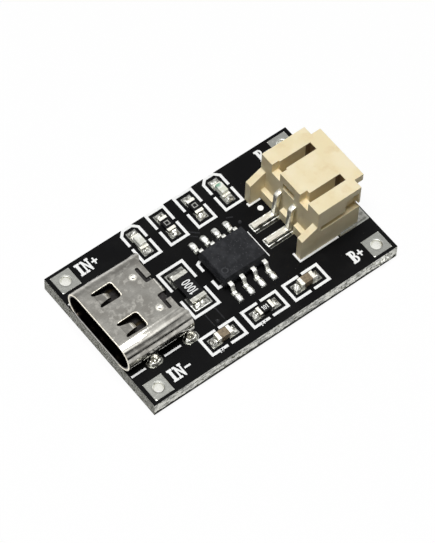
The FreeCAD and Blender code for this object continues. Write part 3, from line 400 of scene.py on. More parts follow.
shell_inside_painted_shade, given = new_group("shell_inside_painted_shade", "Mask")
place = axes(shell_inside_painted_shade, millimetres(shell_inside_painted_shade))
facing = axes(shell_inside_painted_shade, add_node(shell_inside_painted_shade, "NewGeometry").outputs["Normal"])
from_middle = calculate(shell_inside_painted_shade, "ABSOLUTE", place["Y"])
past_flat = calculate(shell_inside_painted_shade, "SUBTRACT", from_middle, SHELL_FLAT_HALF)
past_flat = calculate(shell_inside_painted_shade, "MAXIMUM", past_flat, 0.0)
upward = calculate(shell_inside_painted_shade, "SUBTRACT", place["Z"], SHELL_MIDDLE_Z)
gap = square_sum(shell_inside_painted_shade, past_flat, upward)
within = calculate(shell_inside_painted_shade, "LESS_THAN", gap, SHELL_INNER_RADIUS ** 2)
high = calculate(shell_inside_painted_shade, "GREATER_THAN", place["Z"], FINGER_LOW_Z)
facing_up = calculate(shell_inside_painted_shade, "GREATER_THAN", facing["Z"], FINGER_FACE_COSINE)
not_finger = calculate(shell_inside_painted_shade, "SUBTRACT", 1.0, product(shell_inside_painted_shade, high, facing_up))
give_out(shell_inside_painted_shade, product(shell_inside_painted_shade, within, not_finger))

# %% [markdown]
# Two long key slots run along the cell connector's top. At their far ends they open into the
# cavity, and little light comes back from there, so the nylon there is painted dark brown:
# painted shade. This mask is a low box across the connector just before its lip, below the
# top face.

# %% Group: slot end
SLOT_END_X = (11.2, 11.75)
SLOT_END_HALF_Y = 2.59
SLOT_LIP = 0.12
SLOT_DEPTH = 1.85
SLOT_LOW_Z = top_of("cell_housing") - SLOT_DEPTH
SLOT_HIGH_Z = top_of("cell_housing") - SLOT_LIP

slot_end_painted_shade, given = new_group("slot_end_painted_shade", "Mask")
place = axes(slot_end_painted_shade, millimetres(slot_end_painted_shade))
give_out(slot_end_painted_shade, product(
    slot_end_painted_shade,
    calculate(slot_end_painted_shade, "GREATER_THAN", place["X"], SLOT_END_X[0]),
    calculate(slot_end_painted_shade, "LESS_THAN", place["X"], SLOT_END_X[1]),
    calculate(slot_end_painted_shade, "GREATER_THAN", place["Z"], SLOT_LOW_Z),
    calculate(slot_end_painted_shade, "LESS_THAN", place["Z"], SLOT_HIGH_Z),
    calculate(slot_end_painted_shade, "LESS_THAN", calculate(slot_end_painted_shade, "ABSOLUTE", place["Y"]), SLOT_END_HALF_Y),
))

# %% [markdown]
# The metal round and inside each plated hole is painted lighter than the rest of the pad. The
# four holes lie at the same distances from the board's middle, so one mask measures how far a
# point is from the nearest hole's axis.

# %% Group: hole lining
WIRE_PAD_HALF = 1.0
WIRE_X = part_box("wire_pads")[1].x / MM - WIRE_PAD_HALF
WIRE_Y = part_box("wire_pads")[1].y / MM - WIRE_PAD_HALF
LINING_MASK_RADIUS = 0.52

hole_lining, given = new_group("hole_lining", "Mask")
place = axes(hole_lining, millimetres(hole_lining))
gaps = []
for axis, centre in (("X", WIRE_X), ("Y", WIRE_Y)):
    from_middle = calculate(hole_lining, "ABSOLUTE", place[axis])
    gaps.append(calculate(hole_lining, "SUBTRACT", from_middle, centre))
reach = square_sum(hole_lining, *gaps)
give_out(hole_lining, calculate(hole_lining, "LESS_THAN", reach, LINING_MASK_RADIUS ** 2))

# %% [markdown]
# Each finish is one Principled shader. These helpers set its plain numbers straight on its
# sockets, drop a group into the material, paint a second colour where the group's mask is 1,
# vary the roughness and raise a bump. Colours are written as they look on a screen, from 0 to
# 255, and the bump's depth in millimetres.

# %% Finish helpers
def screen(colour):
    """The linear values that shaders use for a colour as seen on a screen."""
    linear = []
    for value in colour:
        share = value / 255
        linear.append(share / 12.92 if share <= 0.04045 else ((share + 0.055) / 1.055) ** 2.4)
    return (*linear, 1.0)


def shader_of(finish):
    return finish.node_tree.nodes["Principled BSDF"]


def new_finish(name, colour, roughness, metallic=0.0, specular=0.5):
    finish = bpy.data.materials.new(name)
    finish.use_nodes = True
    inputs = shader_of(finish).inputs
    inputs["Base Color"].default_value = screen(colour)
    inputs["Roughness"].default_value = roughness
    inputs["Metallic"].default_value = metallic
    inputs["Specular IOR Level"].default_value = specular
    print("finish", name)
    return finish


def effect(finish, group, **values):
    """Puts a group into a finish with its own values and returns the group's output."""
    node = add_node(finish.node_tree, "Group")
    node.node_tree = group
    for label, value in values.items():
        node.inputs[label.replace("_", " ")].default_value = value
    return node.outputs[0]


def present(socket):
    """What feeds a socket now: another node's output or a plain value."""
    return socket.links[0].from_socket if socket.is_linked else socket.default_value


def mix_colours(tree, mask, first, second):
    """The first colour where the mask is 0, and the second where it is 1."""
    mix = add_node(tree, "Mix")
    mix.data_type = "RGBA"
    feed(tree, mix.inputs[0], mask)
    feed(tree, mix.inputs[6], first)
    feed(tree, mix.inputs[7], second)
    return mix.outputs[2]


def paint(finish, colour, group, **values):
    """Paints a colour over the ones before, where a group's mask is 1, and returns the mask."""
    mask = effect(finish, group, **values)
    base = shader_of(finish).inputs["Base Color"]
    mixed = mix_colours(finish.node_tree, mask, present(base), screen(colour))
    feed(finish.node_tree, base, mixed)
    return mask


def mix_roughness(finish, mask, value, base=None):
    """A roughness where the mask is 1, over a base or over what was there before."""
    tree = finish.node_tree
    rough = shader_of(finish).inputs["Roughness"]
    before = present(rough) if base is None else base
    feed(tree, rough, add_node(tree, "Mix", Factor=mask, A=before, B=value).outputs["Result"])


def raise_bump(finish, depth, group, **values):
    """Adds a group's height to the bumps before."""
    tree = finish.node_tree
    normal = shader_of(finish).inputs["Normal"]
    bump = add_node(tree, "Bump", Height=effect(finish, group, **values), Distance=depth * MM)
    bump.inputs["Strength"].default_value = 1.0
    if normal.is_linked:
        feed(tree, bump.inputs["Normal"], present(normal))
    feed(tree, normal, bump.outputs["Normal"])


# %% [markdown]
# The solder mask is a thin cured lacquer, almost black. It has a slight orange-peel skin,
# cloudy rougher patches where flux was wiped, which are painted a little lighter as a painted
# sheen, and a few specks of dust. Its specular level is kept low, because the lacquer is matt
# and would otherwise look grey under a white room. Where it lies over a copper track it is
# thinner and a little lighter.

# %% Mask lacquer
mask_finish = new_finish("black_mask", (10, 10, 11), 0.5, specular=0.06)
# Painted sheen: the flux-wiped patches are painted a little lighter, as well as made rougher.
flux_and_sheen = paint(mask_finish, (17, 17, 17), blotches, Size=2.6, Detail=4.0, Low=0.45, High=0.75)
paint(mask_finish, (70, 70, 67), specks, Spacing=0.8, Radius=0.07, Chance=0.3)
mix_roughness(mask_finish, flux_and_sheen, 0.6, base=0.42)
raise_bump(mask_finish, 0.012, lumps, Swell_Size=0.7, Grain_Size=0.12, Grain_Share=0.35)

track_finish = new_finish("mask_over_track", (34, 34, 37), 0.4, specular=0.2)
paint(track_finish, (15, 15, 16), blotches, Size=0.5, Detail=4.0, Low=0.4, High=0.7)

# %% [markdown]
# The printed marks are thick white ink. Real ink is not pure white: it is a little thin in
# places, and its surface is chalky with a fine grain.

# %% White ink
ink_finish = new_finish("white_ink", (252, 253, 252), 0.75, specular=0.3)
paint(ink_finish, (232, 233, 233), blotches, Size=0.35, Detail=4.0, Low=0.55, High=0.8)
raise_bump(ink_finish, 0.01, lumps, Swell_Size=0.3, Grain_Size=0.05, Grain_Share=0.6)

# %% [markdown]
# The laminate is glass cloth in resin. The milled ends are a smooth grey-green. The snapped
# sides are a whitish mat of torn fibre ends, drawn out along the cloth's layers, with darker
# pits where fibres were pulled out. The torn sides are also given a weak glow of their own,
# which is painted light: it stands in for light that the white table sends back out through the
# bare glass cloth. The glow is a share of their colour, stronger in the pale layers and none in
# the dark line at the foot.

# %% Cut laminate
FOOT_LINE_TOP = 0.24
BLACK = (0.0, 0.0, 0.0, 1.0)
PAINTED_GLOW_BASE = 0.08
PAINTED_GLOW_IN_LAYERS = 0.36

laminate_finish = new_finish("cut_laminate", (222, 222, 208), 0.8, specular=0.25)
snapped = paint(laminate_finish, (248, 249, 243), snapped_side)
layers = paint(laminate_finish, (246, 246, 238), streaks, Run=0.9, Thickness=0.3, Low=0.38, High=0.58)
paint(laminate_finish, (150, 151, 136), blotches, Size=0.3, Detail=5.0, Low=0.52, High=0.66)
foot_line = paint(laminate_finish, (66, 66, 60), snapped_side, Below=FOOT_LINE_TOP)
raise_bump(laminate_finish, 0.14, lumps, Swell_Size=0.25, Grain_Size=0.07, Grain_Share=0.6)

# Painted light: an emission makes the torn sides glow, though they are no lamp.
tree = laminate_finish.node_tree
shader = shader_of(laminate_finish)
above_foot = calculate(tree, "SUBTRACT", snapped, foot_line)
painted_glow_share = calculate(tree, "ADD", product(tree, layers, PAINTED_GLOW_IN_LAYERS), PAINTED_GLOW_BASE)
painted_glow_share = product(tree, above_foot, painted_glow_share)
glow = mix_colours(tree, painted_glow_share, BLACK, present(shader.inputs["Base Color"]))
feed(tree, shader.inputs["Emission Color"], glow)
shader.inputs["Emission Strength"].default_value = 1.0

# %% [markdown]
# Tinned pads are copper dipped in solder and levelled. The layer is thin and matt-silver, with
# cloudy patches and small ripples where it froze.

# %% Tinned pads
pad_finish = new_finish("tinned_pad", (186, 187, 181), 0.42, metallic=1.0)
worn = paint(pad_finish, (170, 171, 165), blotches, Size=0.45, Detail=4.0, Low=0.4, High=0.66)
paint(pad_finish, (206, 206, 199), specks, Spacing=0.35, Radius=0.25, Chance=0.35)
paint(pad_finish, (234, 234, 227), hole_lining)
mix_roughness(pad_finish, worn, 0.3, base=0.2)
raise_bump(pad_finish, 0.012, lumps, Swell_Size=0.35, Grain_Size=0.08, Grain_Share=0.4)

# %% [markdown]
# Tin that was melted in place froze smooth, with a faint cloudiness. At the connector's tabs it
# is dull and grey. In the pools at its pins it is painted almost black, a painted reflection of
# the dark board. On the large resistor's caps it is bright, and the beads on the chip's leads
# are rougher and look white.

# %% Reflowed tin
def reflowed_tin(name, colour, cloud_colour, roughness=0.3):
    finish = new_finish(name, colour, roughness, metallic=1.0)
    paint(finish, cloud_colour, blotches, Size=0.3, Detail=4.0, Low=0.42, High=0.66)
    raise_bump(finish, 0.02, lumps, Swell_Size=0.4, Grain_Size=0.1)
    return finish


calm_finish = reflowed_tin("reflowed_tin", (170, 170, 164), (128, 128, 122))
# Painted reflection: the pooled solder is painted almost black for the dark board that it mirrors.
painted_dark_pool_finish = reflowed_tin("pooled_solder", (66, 66, 63), (36, 36, 34))
sense_cap_finish = reflowed_tin("sense_cap", (222, 221, 212), (194, 193, 184))
round_finish = reflowed_tin("round_solder", (238, 239, 235), (206, 207, 202), 0.44)
# Painted highlight: this near-white finish on the window burrs and mouth rim stands for the light their
# edges catch.
painted_highlight_finish = reflowed_tin("bright_burr", (250, 245, 230), (226, 220, 204), 0.46)
small_finish = reflowed_tin("small_solder", (228, 228, 221), (120, 119, 112), 0.32)
raise_bump(small_finish, 0.07, lumps, Swell_Size=0.24, Grain_Size=0.08)

# %% [markdown]
# The hand-made joints at the shell's legs are bright and wet-looking, but their skin is
# wrinkled, so each one breaks the white room and the black board up into small light and dark
# facets.

# %% Solder
solder_finish = new_finish("bright_solder", (214, 214, 206), 0.2, metallic=1.0)
dull = paint(solder_finish, (122, 120, 112), blotches, Size=0.22, Detail=3.0, Low=0.46, High=0.66)
mix_roughness(solder_finish, dull, 0.42, base=0.14)
raise_bump(solder_finish, 0.07, lumps, Swell_Size=0.3, Grain_Size=0.1, Grain_Share=0.2)

# %% [markdown]
# The input socket is drawn from nickel-plated steel sheet. Its top is a cloudy warm grey with
# faint rolling lines, handling scratches and a fine grain, which blurs what it reflects. The
# two dimples were pressed by a punch and are rougher than the sheet; the bright ring round
# each is a painted highlight and the dark spot in its middle is painted shade. The inside of
# the shell is painted almost black, which is painted shade.

# %% Steel shell
DIMPLE_X = -8.45
DIMPLE_Y = 1.92

steel_finish = new_finish("plated_steel", (190, 188, 181), 0.34, metallic=1.0)
cloudy = paint(steel_finish, (160, 157, 150), blotches, Size=1.3, Detail=6.0, Low=0.36, High=0.66)
paint(steel_finish, (208, 205, 197), blotches, Size=0.42, Detail=4.0, Low=0.48, High=0.7)
mix_roughness(steel_finish, cloudy, 0.2, base=0.1)
# Painted highlight: a bright ring round each dimple; painted shade: the dark spot in its middle.
for side in (-1, 1):
    centre = {"X": DIMPLE_X, "Y": side * DIMPLE_Y}
    dimple_highlight_ring = paint(steel_finish, (240, 238, 230), round_patch, Inner=0.22, Outer=0.42, **centre)
    mix_roughness(steel_finish, dimple_highlight_ring, 0.44)
    paint(steel_finish, (48, 42, 34), round_patch, Inner=0.04, Outer=0.13, **centre)
# Painted shade: the inside of the shell is painted almost black.
paint(steel_finish, (44, 39, 34), shell_inside_painted_shade)
raise_bump(steel_finish, 0.009, lumps, Swell_Size=1.4, Grain_Size=0.14, Grain_Share=0.14)
raise_bump(steel_finish, 0.001, streaks, Run=2.2, Thickness=0.09, Low=0.45, High=0.7)

# %% [markdown]
# The socket's insulating moulding is a glass-filled black plastic, dull and slightly warm.
# Its contacts are gold over copper, painted a dark brown because they sit in the shell's
# shade: painted shade.

# %% Socket moulding and contacts
moulding_finish = new_finish("dark_moulding", (34, 31, 30), 0.55, specular=0.2)
paint(moulding_finish, (58, 56, 58), blotches, Size=0.3, Detail=5.0, Low=0.5, High=0.75)
raise_bump(moulding_finish, 0.02, lumps, Swell_Size=0.4, Grain_Size=0.06, Grain_Share=0.6)

# Painted shade: the gold contacts are painted a near-black brown.
painted_shade_gold_finish = new_finish("contact_gold", (46, 40, 30), 0.5, metallic=1.0)
paint(painted_shade_gold_finish, (66, 58, 44), blotches, Size=0.3, Detail=3.0, Low=0.45, High=0.7)
raise_bump(painted_shade_gold_finish, 0.01, lumps, Swell_Size=0.2)

# %% [markdown]
# The cell connector is natural nylon, a warm cream that lets a little light into it. Its top
# has a cloudy moulded skin with slight flow marks, and its edges are softened by the mould.

# %% Cream nylon
cream_finish = new_finish("cream_nylon", (243, 228, 187), 0.52, specular=0.3)
flow = paint(cream_finish, (248, 235, 200), blotches, Size=2.2, Detail=4.0, Low=0.4, High=0.7)
paint(cream_finish, (236, 216, 172), blotches, Size=1.0, Detail=5.0, Low=0.5, High=0.8)
# Painted shade: the far ends of the key slots are painted dark brown.
paint(cream_finish, (128, 104, 74), slot_end_painted_shade)
mix_roughness(cream_finish, flow, 0.62, base=0.45)
shader_of(cream_finish).inputs["Subsurface Weight"].default_value = 0.08
shader_of(cream_finish).inputs["Subsurface Radius"].default_value = (1.0, 0.7, 0.35)
shader_of(cream_finish).inputs["Subsurface Scale"].default_value = 0.3 * MM
raise_bump(cream_finish, 0.03, lumps, Swell_Size=1.1, Grain_Size=0.1, Grain_Share=0.4)

# %% [markdown]
# The connector's pins are square tinned wire, bright and smooth, with faint lengthwise lines
# from the drawing die. The chip's leads were plated flat and then bent; they are bright tin
# with duller, rougher, greyer patches scattered over them.

# %% Tinned wire and leads
wire_finish = new_finish("tinned_wire", (232, 230, 220), 0.4, metallic=1.0)
paint(wire_finish, (206, 203, 192), streaks, Run=1.6, Thickness=0.08, Low=0.42, High=0.66)
raise_bump(wire_finish, 0.006, lumps, Swell_Size=0.5)

lead_finish = new_finish("lead_tin", (234, 234, 228), 0.24, metallic=1.0)
scuffed = paint(lead_finish, (196, 196, 190), blotches, Size=0.3, Detail=4.0, Low=0.46, High=0.68)
mix_roughness(lead_finish, scuffed, 0.5, base=0.4)
raise_bump(lead_finish, 0.02, lumps, Swell_Size=0.3)

# %% [markdown]
# The chip's body is moulded epoxy: near black and matt, with a fine sandy grain. Its marking
# was lasered and is left off, so the face keeps only faint cloudy patches and the moulded
# dimple at pin one, whose paler edge is a painted highlight and whose dark floor is painted
# shade.

# %% Chip epoxy
CHIP_DIMPLE = {"X": -0.87, "Y": -1.5}

chip_finish = new_finish("chip_epoxy", (29, 30, 33), 0.62, specular=0.16)
paint(chip_finish, (46, 47, 50), blotches, Size=0.9, Detail=6.0, Low=0.44, High=0.66)
paint(chip_finish, (76, 77, 80), specks, Spacing=0.16, Radius=0.45, Chance=0.3)
# Painted highlight on the dimple's edge, then painted shade on its floor.
paint(chip_finish, (68, 69, 72), round_patch, Inner=0.3, Outer=0.36, **CHIP_DIMPLE)
paint(chip_finish, (26, 27, 30), round_patch, Inner=0.2, Outer=0.26, **CHIP_DIMPLE)
raise_bump(chip_finish, 0.02, lumps, Swell_Size=0.3, Grain_Size=0.05, Grain_Share=0.7)

# %% [markdown]
# Small parts: resistors carry a dark glassy coat, which shows as a paler line where it ends.
# Capacitors are grey-brown fired ceramic. All of them end in plated metal caps with a frosted
# look.

# %% Coats, ceramic and end caps
coat_finish = new_finish("resistor_coat", (14, 14, 16), 0.4, specular=0.12)
paint(coat_finish, (24, 24, 26), blotches, Size=0.3, Detail=3.0, Low=0.45, High=0.7)
raise_bump(coat_finish, 0.03, lumps, Swell_Size=0.3)

coat_edge_finish = new_finish("coat_edge", (186, 186, 180), 0.5)
paint(coat_edge_finish, (120, 120, 116), blotches, Size=0.12, Detail=3.0, Low=0.4, High=0.7)

ceramic_finish = new_finish("capacitor_ceramic", (144, 128, 104), 0.5, specular=0.35)
paint(ceramic_finish, (114, 100, 80), blotches, Size=0.25, Detail=4.0, Low=0.42, High=0.7)
paint(ceramic_finish, (172, 158, 134), specks, Spacing=0.16, Radius=0.35, Chance=0.3)
raise_bump(ceramic_finish, 0.03, lumps, Swell_Size=0.2)

cap_finish = new_finish("end_cap", (240, 238, 228), 0.34, metallic=1.0)
frost = paint(cap_finish, (206, 204, 194), blotches, Size=0.16, Detail=4.0, Low=0.5, High=0.7)
mix_roughness(cap_finish, frost, 0.5, base=0.4)
raise_bump(cap_finish, 0.025, lumps, Swell_Size=0.2)

# %% [markdown]
# The two indicator lamps are a white board with a clear milky block of resin cast on it. The
# resin hides a pale crystal, which gives one end of the cell-side lamp a green tint.

# %% Lamp resin
base_finish = new_finish("lamp_base", (228, 229, 221), 0.6)
paint(base_finish, (184, 188, 178), blotches, Size=0.3, Detail=3.0, Low=0.4, High=0.7)
raise_bump(base_finish, 0.02, lumps, Swell_Size=0.2)


def lamp_resin(name, body, tint):
    finish = new_finish(name, body, 0.22)
    paint(finish, tint, blotches, Size=0.34, Detail=2.0, Low=0.42, High=0.62)
    paint(finish, (246, 247, 240), specks, Spacing=0.3, Radius=0.3, Chance=0.4)
    shader_of(finish).inputs["Coat Weight"].default_value = 0.5
    raise_bump(finish, 0.04, lumps, Swell_Size=0.26)
    return finish


white_resin = lamp_resin("lamp_resin_white", (253, 254, 248), (228, 229, 218))
green_resin = lamp_resin("lamp_resin_green", (253, 254, 246), (230, 232, 214))
paint(green_resin, (140, 186, 160), round_patch, X=4.5, Y=6.55, Inner=0.2, Outer=0.46)

# %% [markdown]
# Now the CAD nodes get their finishes. A moulded or bent edge is never perfectly sharp, and
# the thin bright line where it catches light is what makes a small part look real. A Bevel
# modifier rounds the edges by a few hundredths of a millimetre without touching the mesh. The
# imported mesh is split at its sharp edges, so a Weld modifier joins it first. Each row of the
# table gives a node, its finish, the width of its rounding and the number of steps in it.

# %% Finish and soften the CAD nodes
WELD_REACH = 0.001
CORNER_DEGREES = 40
DRESSING = [
    ("mask_top", mask_finish, 0.0, 0), ("mask_bottom", mask_finish, 0.0, 0),
    ("part_pads", pad_finish, 0.0, 0), ("leg_pads", pad_finish, 0.0, 0),
    ("print_frames", ink_finish, 0.0, 0), ("print_outlines", ink_finish, 0.0, 0),
    ("input_shell", steel_finish, 0.045, 3), ("input_moulding", moulding_finish, 0.03, 2),
    ("input_contacts", painted_shade_gold_finish, 0.015, 2), ("cell_housing", cream_finish, 0.05, 3),
    ("cell_pins", wire_finish, 0.035, 2), ("cell_tabs", calm_finish, 0.02, 2),
    ("pin_solder", painted_dark_pool_finish, 0.03, 2), ("chip_body", chip_finish, 0.04, 3),
    ("chip_leads", lead_finish, 0.04, 3), ("resistor_bodies", coat_finish, 0.03, 2),
    ("resistor_ends", cap_finish, 0.03, 2), ("capacitor_bodies", ceramic_finish, 0.04, 2),
    ("capacitor_ends", cap_finish, 0.05, 3), ("lamp_bases", base_finish, 0.02, 2),
    ("lamp_ends", cap_finish, 0.02, 2), ("lamp_lens_input", white_resin, 0.05, 3),
    ("lamp_lens_cell", green_resin, 0.05, 3), ("sense_body", coat_finish, 0.03, 2),
    ("sense_ends", sense_cap_finish, 0.04, 2),
]

for node, finish, edge, segments in DRESSING:
    piece = nodes[node]
    piece.data.materials.clear()
    piece.data.materials.append(finish)
    if edge > 0:
        weld = piece.modifiers.new("join", "WELD")
        weld.merge_threshold = WELD_REACH * MM
        bevel = piece.modifiers.new("soft_edge", "BEVEL")
        bevel.width = edge * MM
        bevel.segments = segments
        bevel.limit_method = "ANGLE"
        bevel.angle_limit = math.radians(CORNER_DEGREES)
        bevel.harden_normals = True
    print(node, "gets", finish.name)

# %% [markdown]
# Pieces made here are skins over rings of points: each ring has the same number of points, and
# a strip of faces joins it to the next one. A piece may hold several such skins. It becomes one
# mesh in metres, with a finish and a body to ride on.

# %% Piece helpers
def strips(count, rings, start=0, closed=False):
    """Faces between rings of points that follow one another in the list of vertices."""
    faces = []
    for ring in range(rings if closed else rings - 1):
        a = start + ring * count
        b = start + (ring + 1) % rings * count
        for index in range(count):
            following = (index + 1) % count
            faces.append((a + index, a + following, b + following, b + index))
    return faces


def skin(rings):
    """Closed skin over rings of points, with flat ends."""
    count = len(rings[0])
    vertices = [point for ring in rings for point in ring]
    faces = strips(count, len(rings))
    faces.append(tuple(range(count - 1, -1, -1)))
    faces.append(tuple(range(len(vertices) - count, len(vertices))))
    return vertices, faces


def at_height(points, z):
    return [(x, y, z) for x, y in points]


def stack(parts):
    """Joins several (vertices, faces) pairs into one pair."""
    vertices = []
    faces = []
    for part_vertices, part_faces in parts:
        start = len(vertices)
        vertices += part_vertices
        faces += [tuple(index + start for index in face) for face in part_faces]
    return vertices, faces


def make_piece(name, parts, finish, stands_for=(), smooth=True):
    vertices, faces = stack(parts)
    mesh = bpy.data.meshes.new(name)
    mesh.from_pydata([(x * MM, y * MM, z * MM) for x, y, z in vertices], [], faces)
    mesh.validate()
    mesh.materials.append(finish)
    if smooth:
        mesh.shade_smooth()
    piece = bpy.data.objects.new(name, mesh)
    scene.collection.objects.link(piece)
    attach(piece, "root")
    if stands_for:
        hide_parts(*stands_for)
    print(name, len(mesh.vertices), "vertices")


# %% [markdown]
# The board was cut out of a panel. The two short ends were milled and are nearly smooth. The
# long sides were snapped along a row of drilled holes, which leaves a fibrous, uneven face
# and, near one corner, the torn nubs of a tie. The block is built as one closed skin: a strip
# of small faces round the outline, pushed in and out by noise, with its top and bottom cut
# round the wire holes and leg slots.

# %% Laminate outline
EDGE_STEP = 0.11
EDGE_ROWS = 10
SNAPPED_DEPTH = 0.13
MILLED_DEPTH = 0.02
NUB_REACH = 0.36
NUB_SPAN = (10.9, 13.2)
COARSE_PITCH = 1.7
FINE_PITCH = 6.0
NUB_PITCH = 3.6
FIBRE_PITCH = Vector((2.2, 2.2, 9.0))


def outline_walk(half_x, half_y, step):
    """Points round a rectangle, each with the direction out of the board and whether it is a
    corner."""
    walk = []
    corners = [(-half_x, -half_y), (half_x, -half_y), (half_x, half_y), (-half_x, half_y)]
    outward = [(0, -1), (1, 0), (0, 1), (-1, 0)]
    for side in range(4):
        x0, y0 = corners[side]
        x1, y1 = corners[(side + 1) % 4]
        count = round(math.hypot(x1 - x0, y1 - y0) / step)
        for index in range(count):
            share = index / count
            x = x0 + (x1 - x0) * share
            y = y0 + (y1 - y0) * share
            walk.append((x, y, outward[side], index == 0))
    return walk


def tear(x, y, z, direction):
    """How far the cut face stands out of the ideal plane here, in millimetres."""
    place = Vector((x, y, z))
    coarse = noise.noise(place * COARSE_PITCH)
    fine = noise.noise(place * FINE_PITCH)
    fibre = noise.noise(place * FIBRE_PITCH)
    if direction[1] == 0:
        return -MILLED_DEPTH * (0.6 + 0.4 * fine)
    out = -SNAPPED_DEPTH * (0.45 + 0.3 * coarse + 0.35 * fine + 0.25 * fibre)
    if direction[1] < 0 and NUB_SPAN[0] < x < NUB_SPAN[1]:
        share = (x - NUB_SPAN[0]) / (NUB_SPAN[1] - NUB_SPAN[0])
        lump = 0.15 + 1.5 * abs(noise.noise(place * NUB_PITCH))
        ridge = math.sin(math.pi * share) ** 0.5 * lump
        out += NUB_REACH * ridge * math.sin(math.pi * (z - CORE_LOW) / (CORE_HIGH - CORE_LOW))
    return out


walk = outline_walk(BOARD_END, BOARD_SIDE, EDGE_STEP)
print("outline points:", len(walk))

# %% [markdown]
# The holes go in as extra loops. tessellate_polygon fills a flat face between an outer loop
# and any number of inner ones, so no Boolean is needed and the skin stays closed.

# %% Laminate block
WIRE_HOLE_RADIUS = 0.5
LEG_SLOT_X = (-10.9, -6.95)
LEG_SLOT_Y = 4.32
LEG_SLOT_HALF = 0.275
LEG_SLOT_RADIUS = 0.3
ROUND_POINTS = 24
WIRE_PLACES = [(x * WIRE_X, y * WIRE_Y) for x in (-1, 1) for y in (-1, 1)]
LEG_PLACES = [(x, side) for x in LEG_SLOT_X for side in (-1, 1)]


def ring_points(centre_x, centre_y, radius, half_straight=0.0):
    """Round hole, or a slot along X where half_straight is above 0."""
    points = []
    for index in range(ROUND_POINTS):
        angle = 2 * math.pi * (index + 0.5) / ROUND_POINTS
        shift = half_straight if math.cos(angle) > 0 else -half_straight
        points.append((centre_x + shift + radius * math.cos(angle), centre_y + radius * math.sin(angle)))
    return points


def laminate_block():
    vertices = []
    count = len(walk)
    for row in range(EDGE_ROWS + 1):
        z = CORE_LOW + (CORE_HIGH - CORE_LOW) * row / EDGE_ROWS
        edge_row = row in (0, EDGE_ROWS)
        for x, y, direction, corner in walk:
            out = 0.0 if edge_row or corner else tear(x, y, z, direction)
            vertices.append((x + direction[0] * out, y + direction[1] * out, z))
    faces = strips(count, EDGE_ROWS + 1)
    last = EDGE_ROWS * count
    lids = {CORE_LOW: [list(range(count))], CORE_HIGH: [list(range(last, last + count))]}
    loops = [ring_points(x, y, WIRE_HOLE_RADIUS) for x, y in WIRE_PLACES]
    loops += [ring_points(x, side * LEG_SLOT_Y, LEG_SLOT_RADIUS, LEG_SLOT_HALF) for x, side in LEG_PLACES]
    for loop in loops:
        faces += strips(ROUND_POINTS, 2, len(vertices))
        for z in (CORE_HIGH, CORE_LOW):
            lids[z].append(list(range(len(vertices), len(vertices) + ROUND_POINTS)))
            vertices += at_height(loop, z)
    for z, rings in lids.items():
        order = [index for ring in rings for index in ring]
        outlines = [[Vector(vertices[index]) for index in ring] for ring in rings]
        for triangle in tessellate_polygon(outlines):
            face = [order[index] for index in triangle]
            a, b, c = (Vector(vertices[index]) for index in face)
            if ((b - a).cross(c - a).z > 0) != (z == CORE_HIGH):
                face.reverse()
            faces.append(tuple(face))
    return vertices, faces


block = laminate_block()
make_piece("torn_laminate", [block], laminate_finish, ("board_core",), smooth=False)

# %% [markdown]
# A wire hole is drilled, plated with copper and then tinned with the pad, so pad and lining
# are one skin of metal. A profile from the pad's square edge to the round hole is repeated
# round the axis: each ring of points is a step between the square and the circle.

# %% Plated wire holes
PAD_POINTS = 48
LINING_RADIUS = 0.46
TIN_CROWN = 0.018
CROWN_Z = BOARD_TOP + TIN_CROWN
PAD_PROFILE = [
    ("square", WIRE_PAD_HALF, CORE_HIGH),
    ("square", WIRE_PAD_HALF, BOARD_TOP),
    ("square", WIRE_PAD_HALF - 0.03, CROWN_Z),
    ("round", 0.66, CROWN_Z),
    ("round", 0.56, BOARD_TOP + TIN_CROWN * 0.6),
    ("round", 0.49, BOARD_TOP - 0.03),
    ("round", LINING_RADIUS, BOARD_TOP - 0.14),
    ("round", LINING_RADIUS, 0.14),
    ("round", 0.49, 0.03),
    ("round", 0.56, 0.0),
    ("square", WIRE_PAD_HALF, 0.0),
    ("square", WIRE_PAD_HALF, CORE_LOW),
    ("round", WIRE_HOLE_RADIUS, CORE_LOW),
    ("round", WIRE_HOLE_RADIUS, CORE_HIGH),
]


def plated_hole(centre_x, centre_y):
    vertices = []
    for kind, size, z in PAD_PROFILE:
        for index in range(PAD_POINTS):
            angle = 2 * math.pi * (index + 0.5) / PAD_POINTS + math.pi / 4
            c, s = math.cos(angle), math.sin(angle)
            reach = size / max(abs(c), abs(s)) if kind == "square" else size
            vertices.append((centre_x + reach * c, centre_y + reach * s, z))
    return vertices, strips(PAD_POINTS, len(PAD_PROFILE), closed=True)


holes = [plated_hole(*place) for place in WIRE_PLACES]
make_piece("wire_terminals", holes, pad_finish, ("wire_pads",), smooth=False)

# %% [markdown]
# Molten solder pulls itself into a rounded heap on its pad. The heap here is a dome over a
# rounded rectangle: rings of points shrink towards the middle while they rise, and noise makes
# every joint a little different. A tilt makes it higher against the metal that it wets.

# %% Solder dome
DOME_POINTS = 28
DOME_RINGS = 9
CRATER_SHARE = 0.62
DOME_FLATNESS = 2.6
DOME_STEEPNESS = 0.55
DOME_PITCH = 4.3
DOME_SINK = 0.01


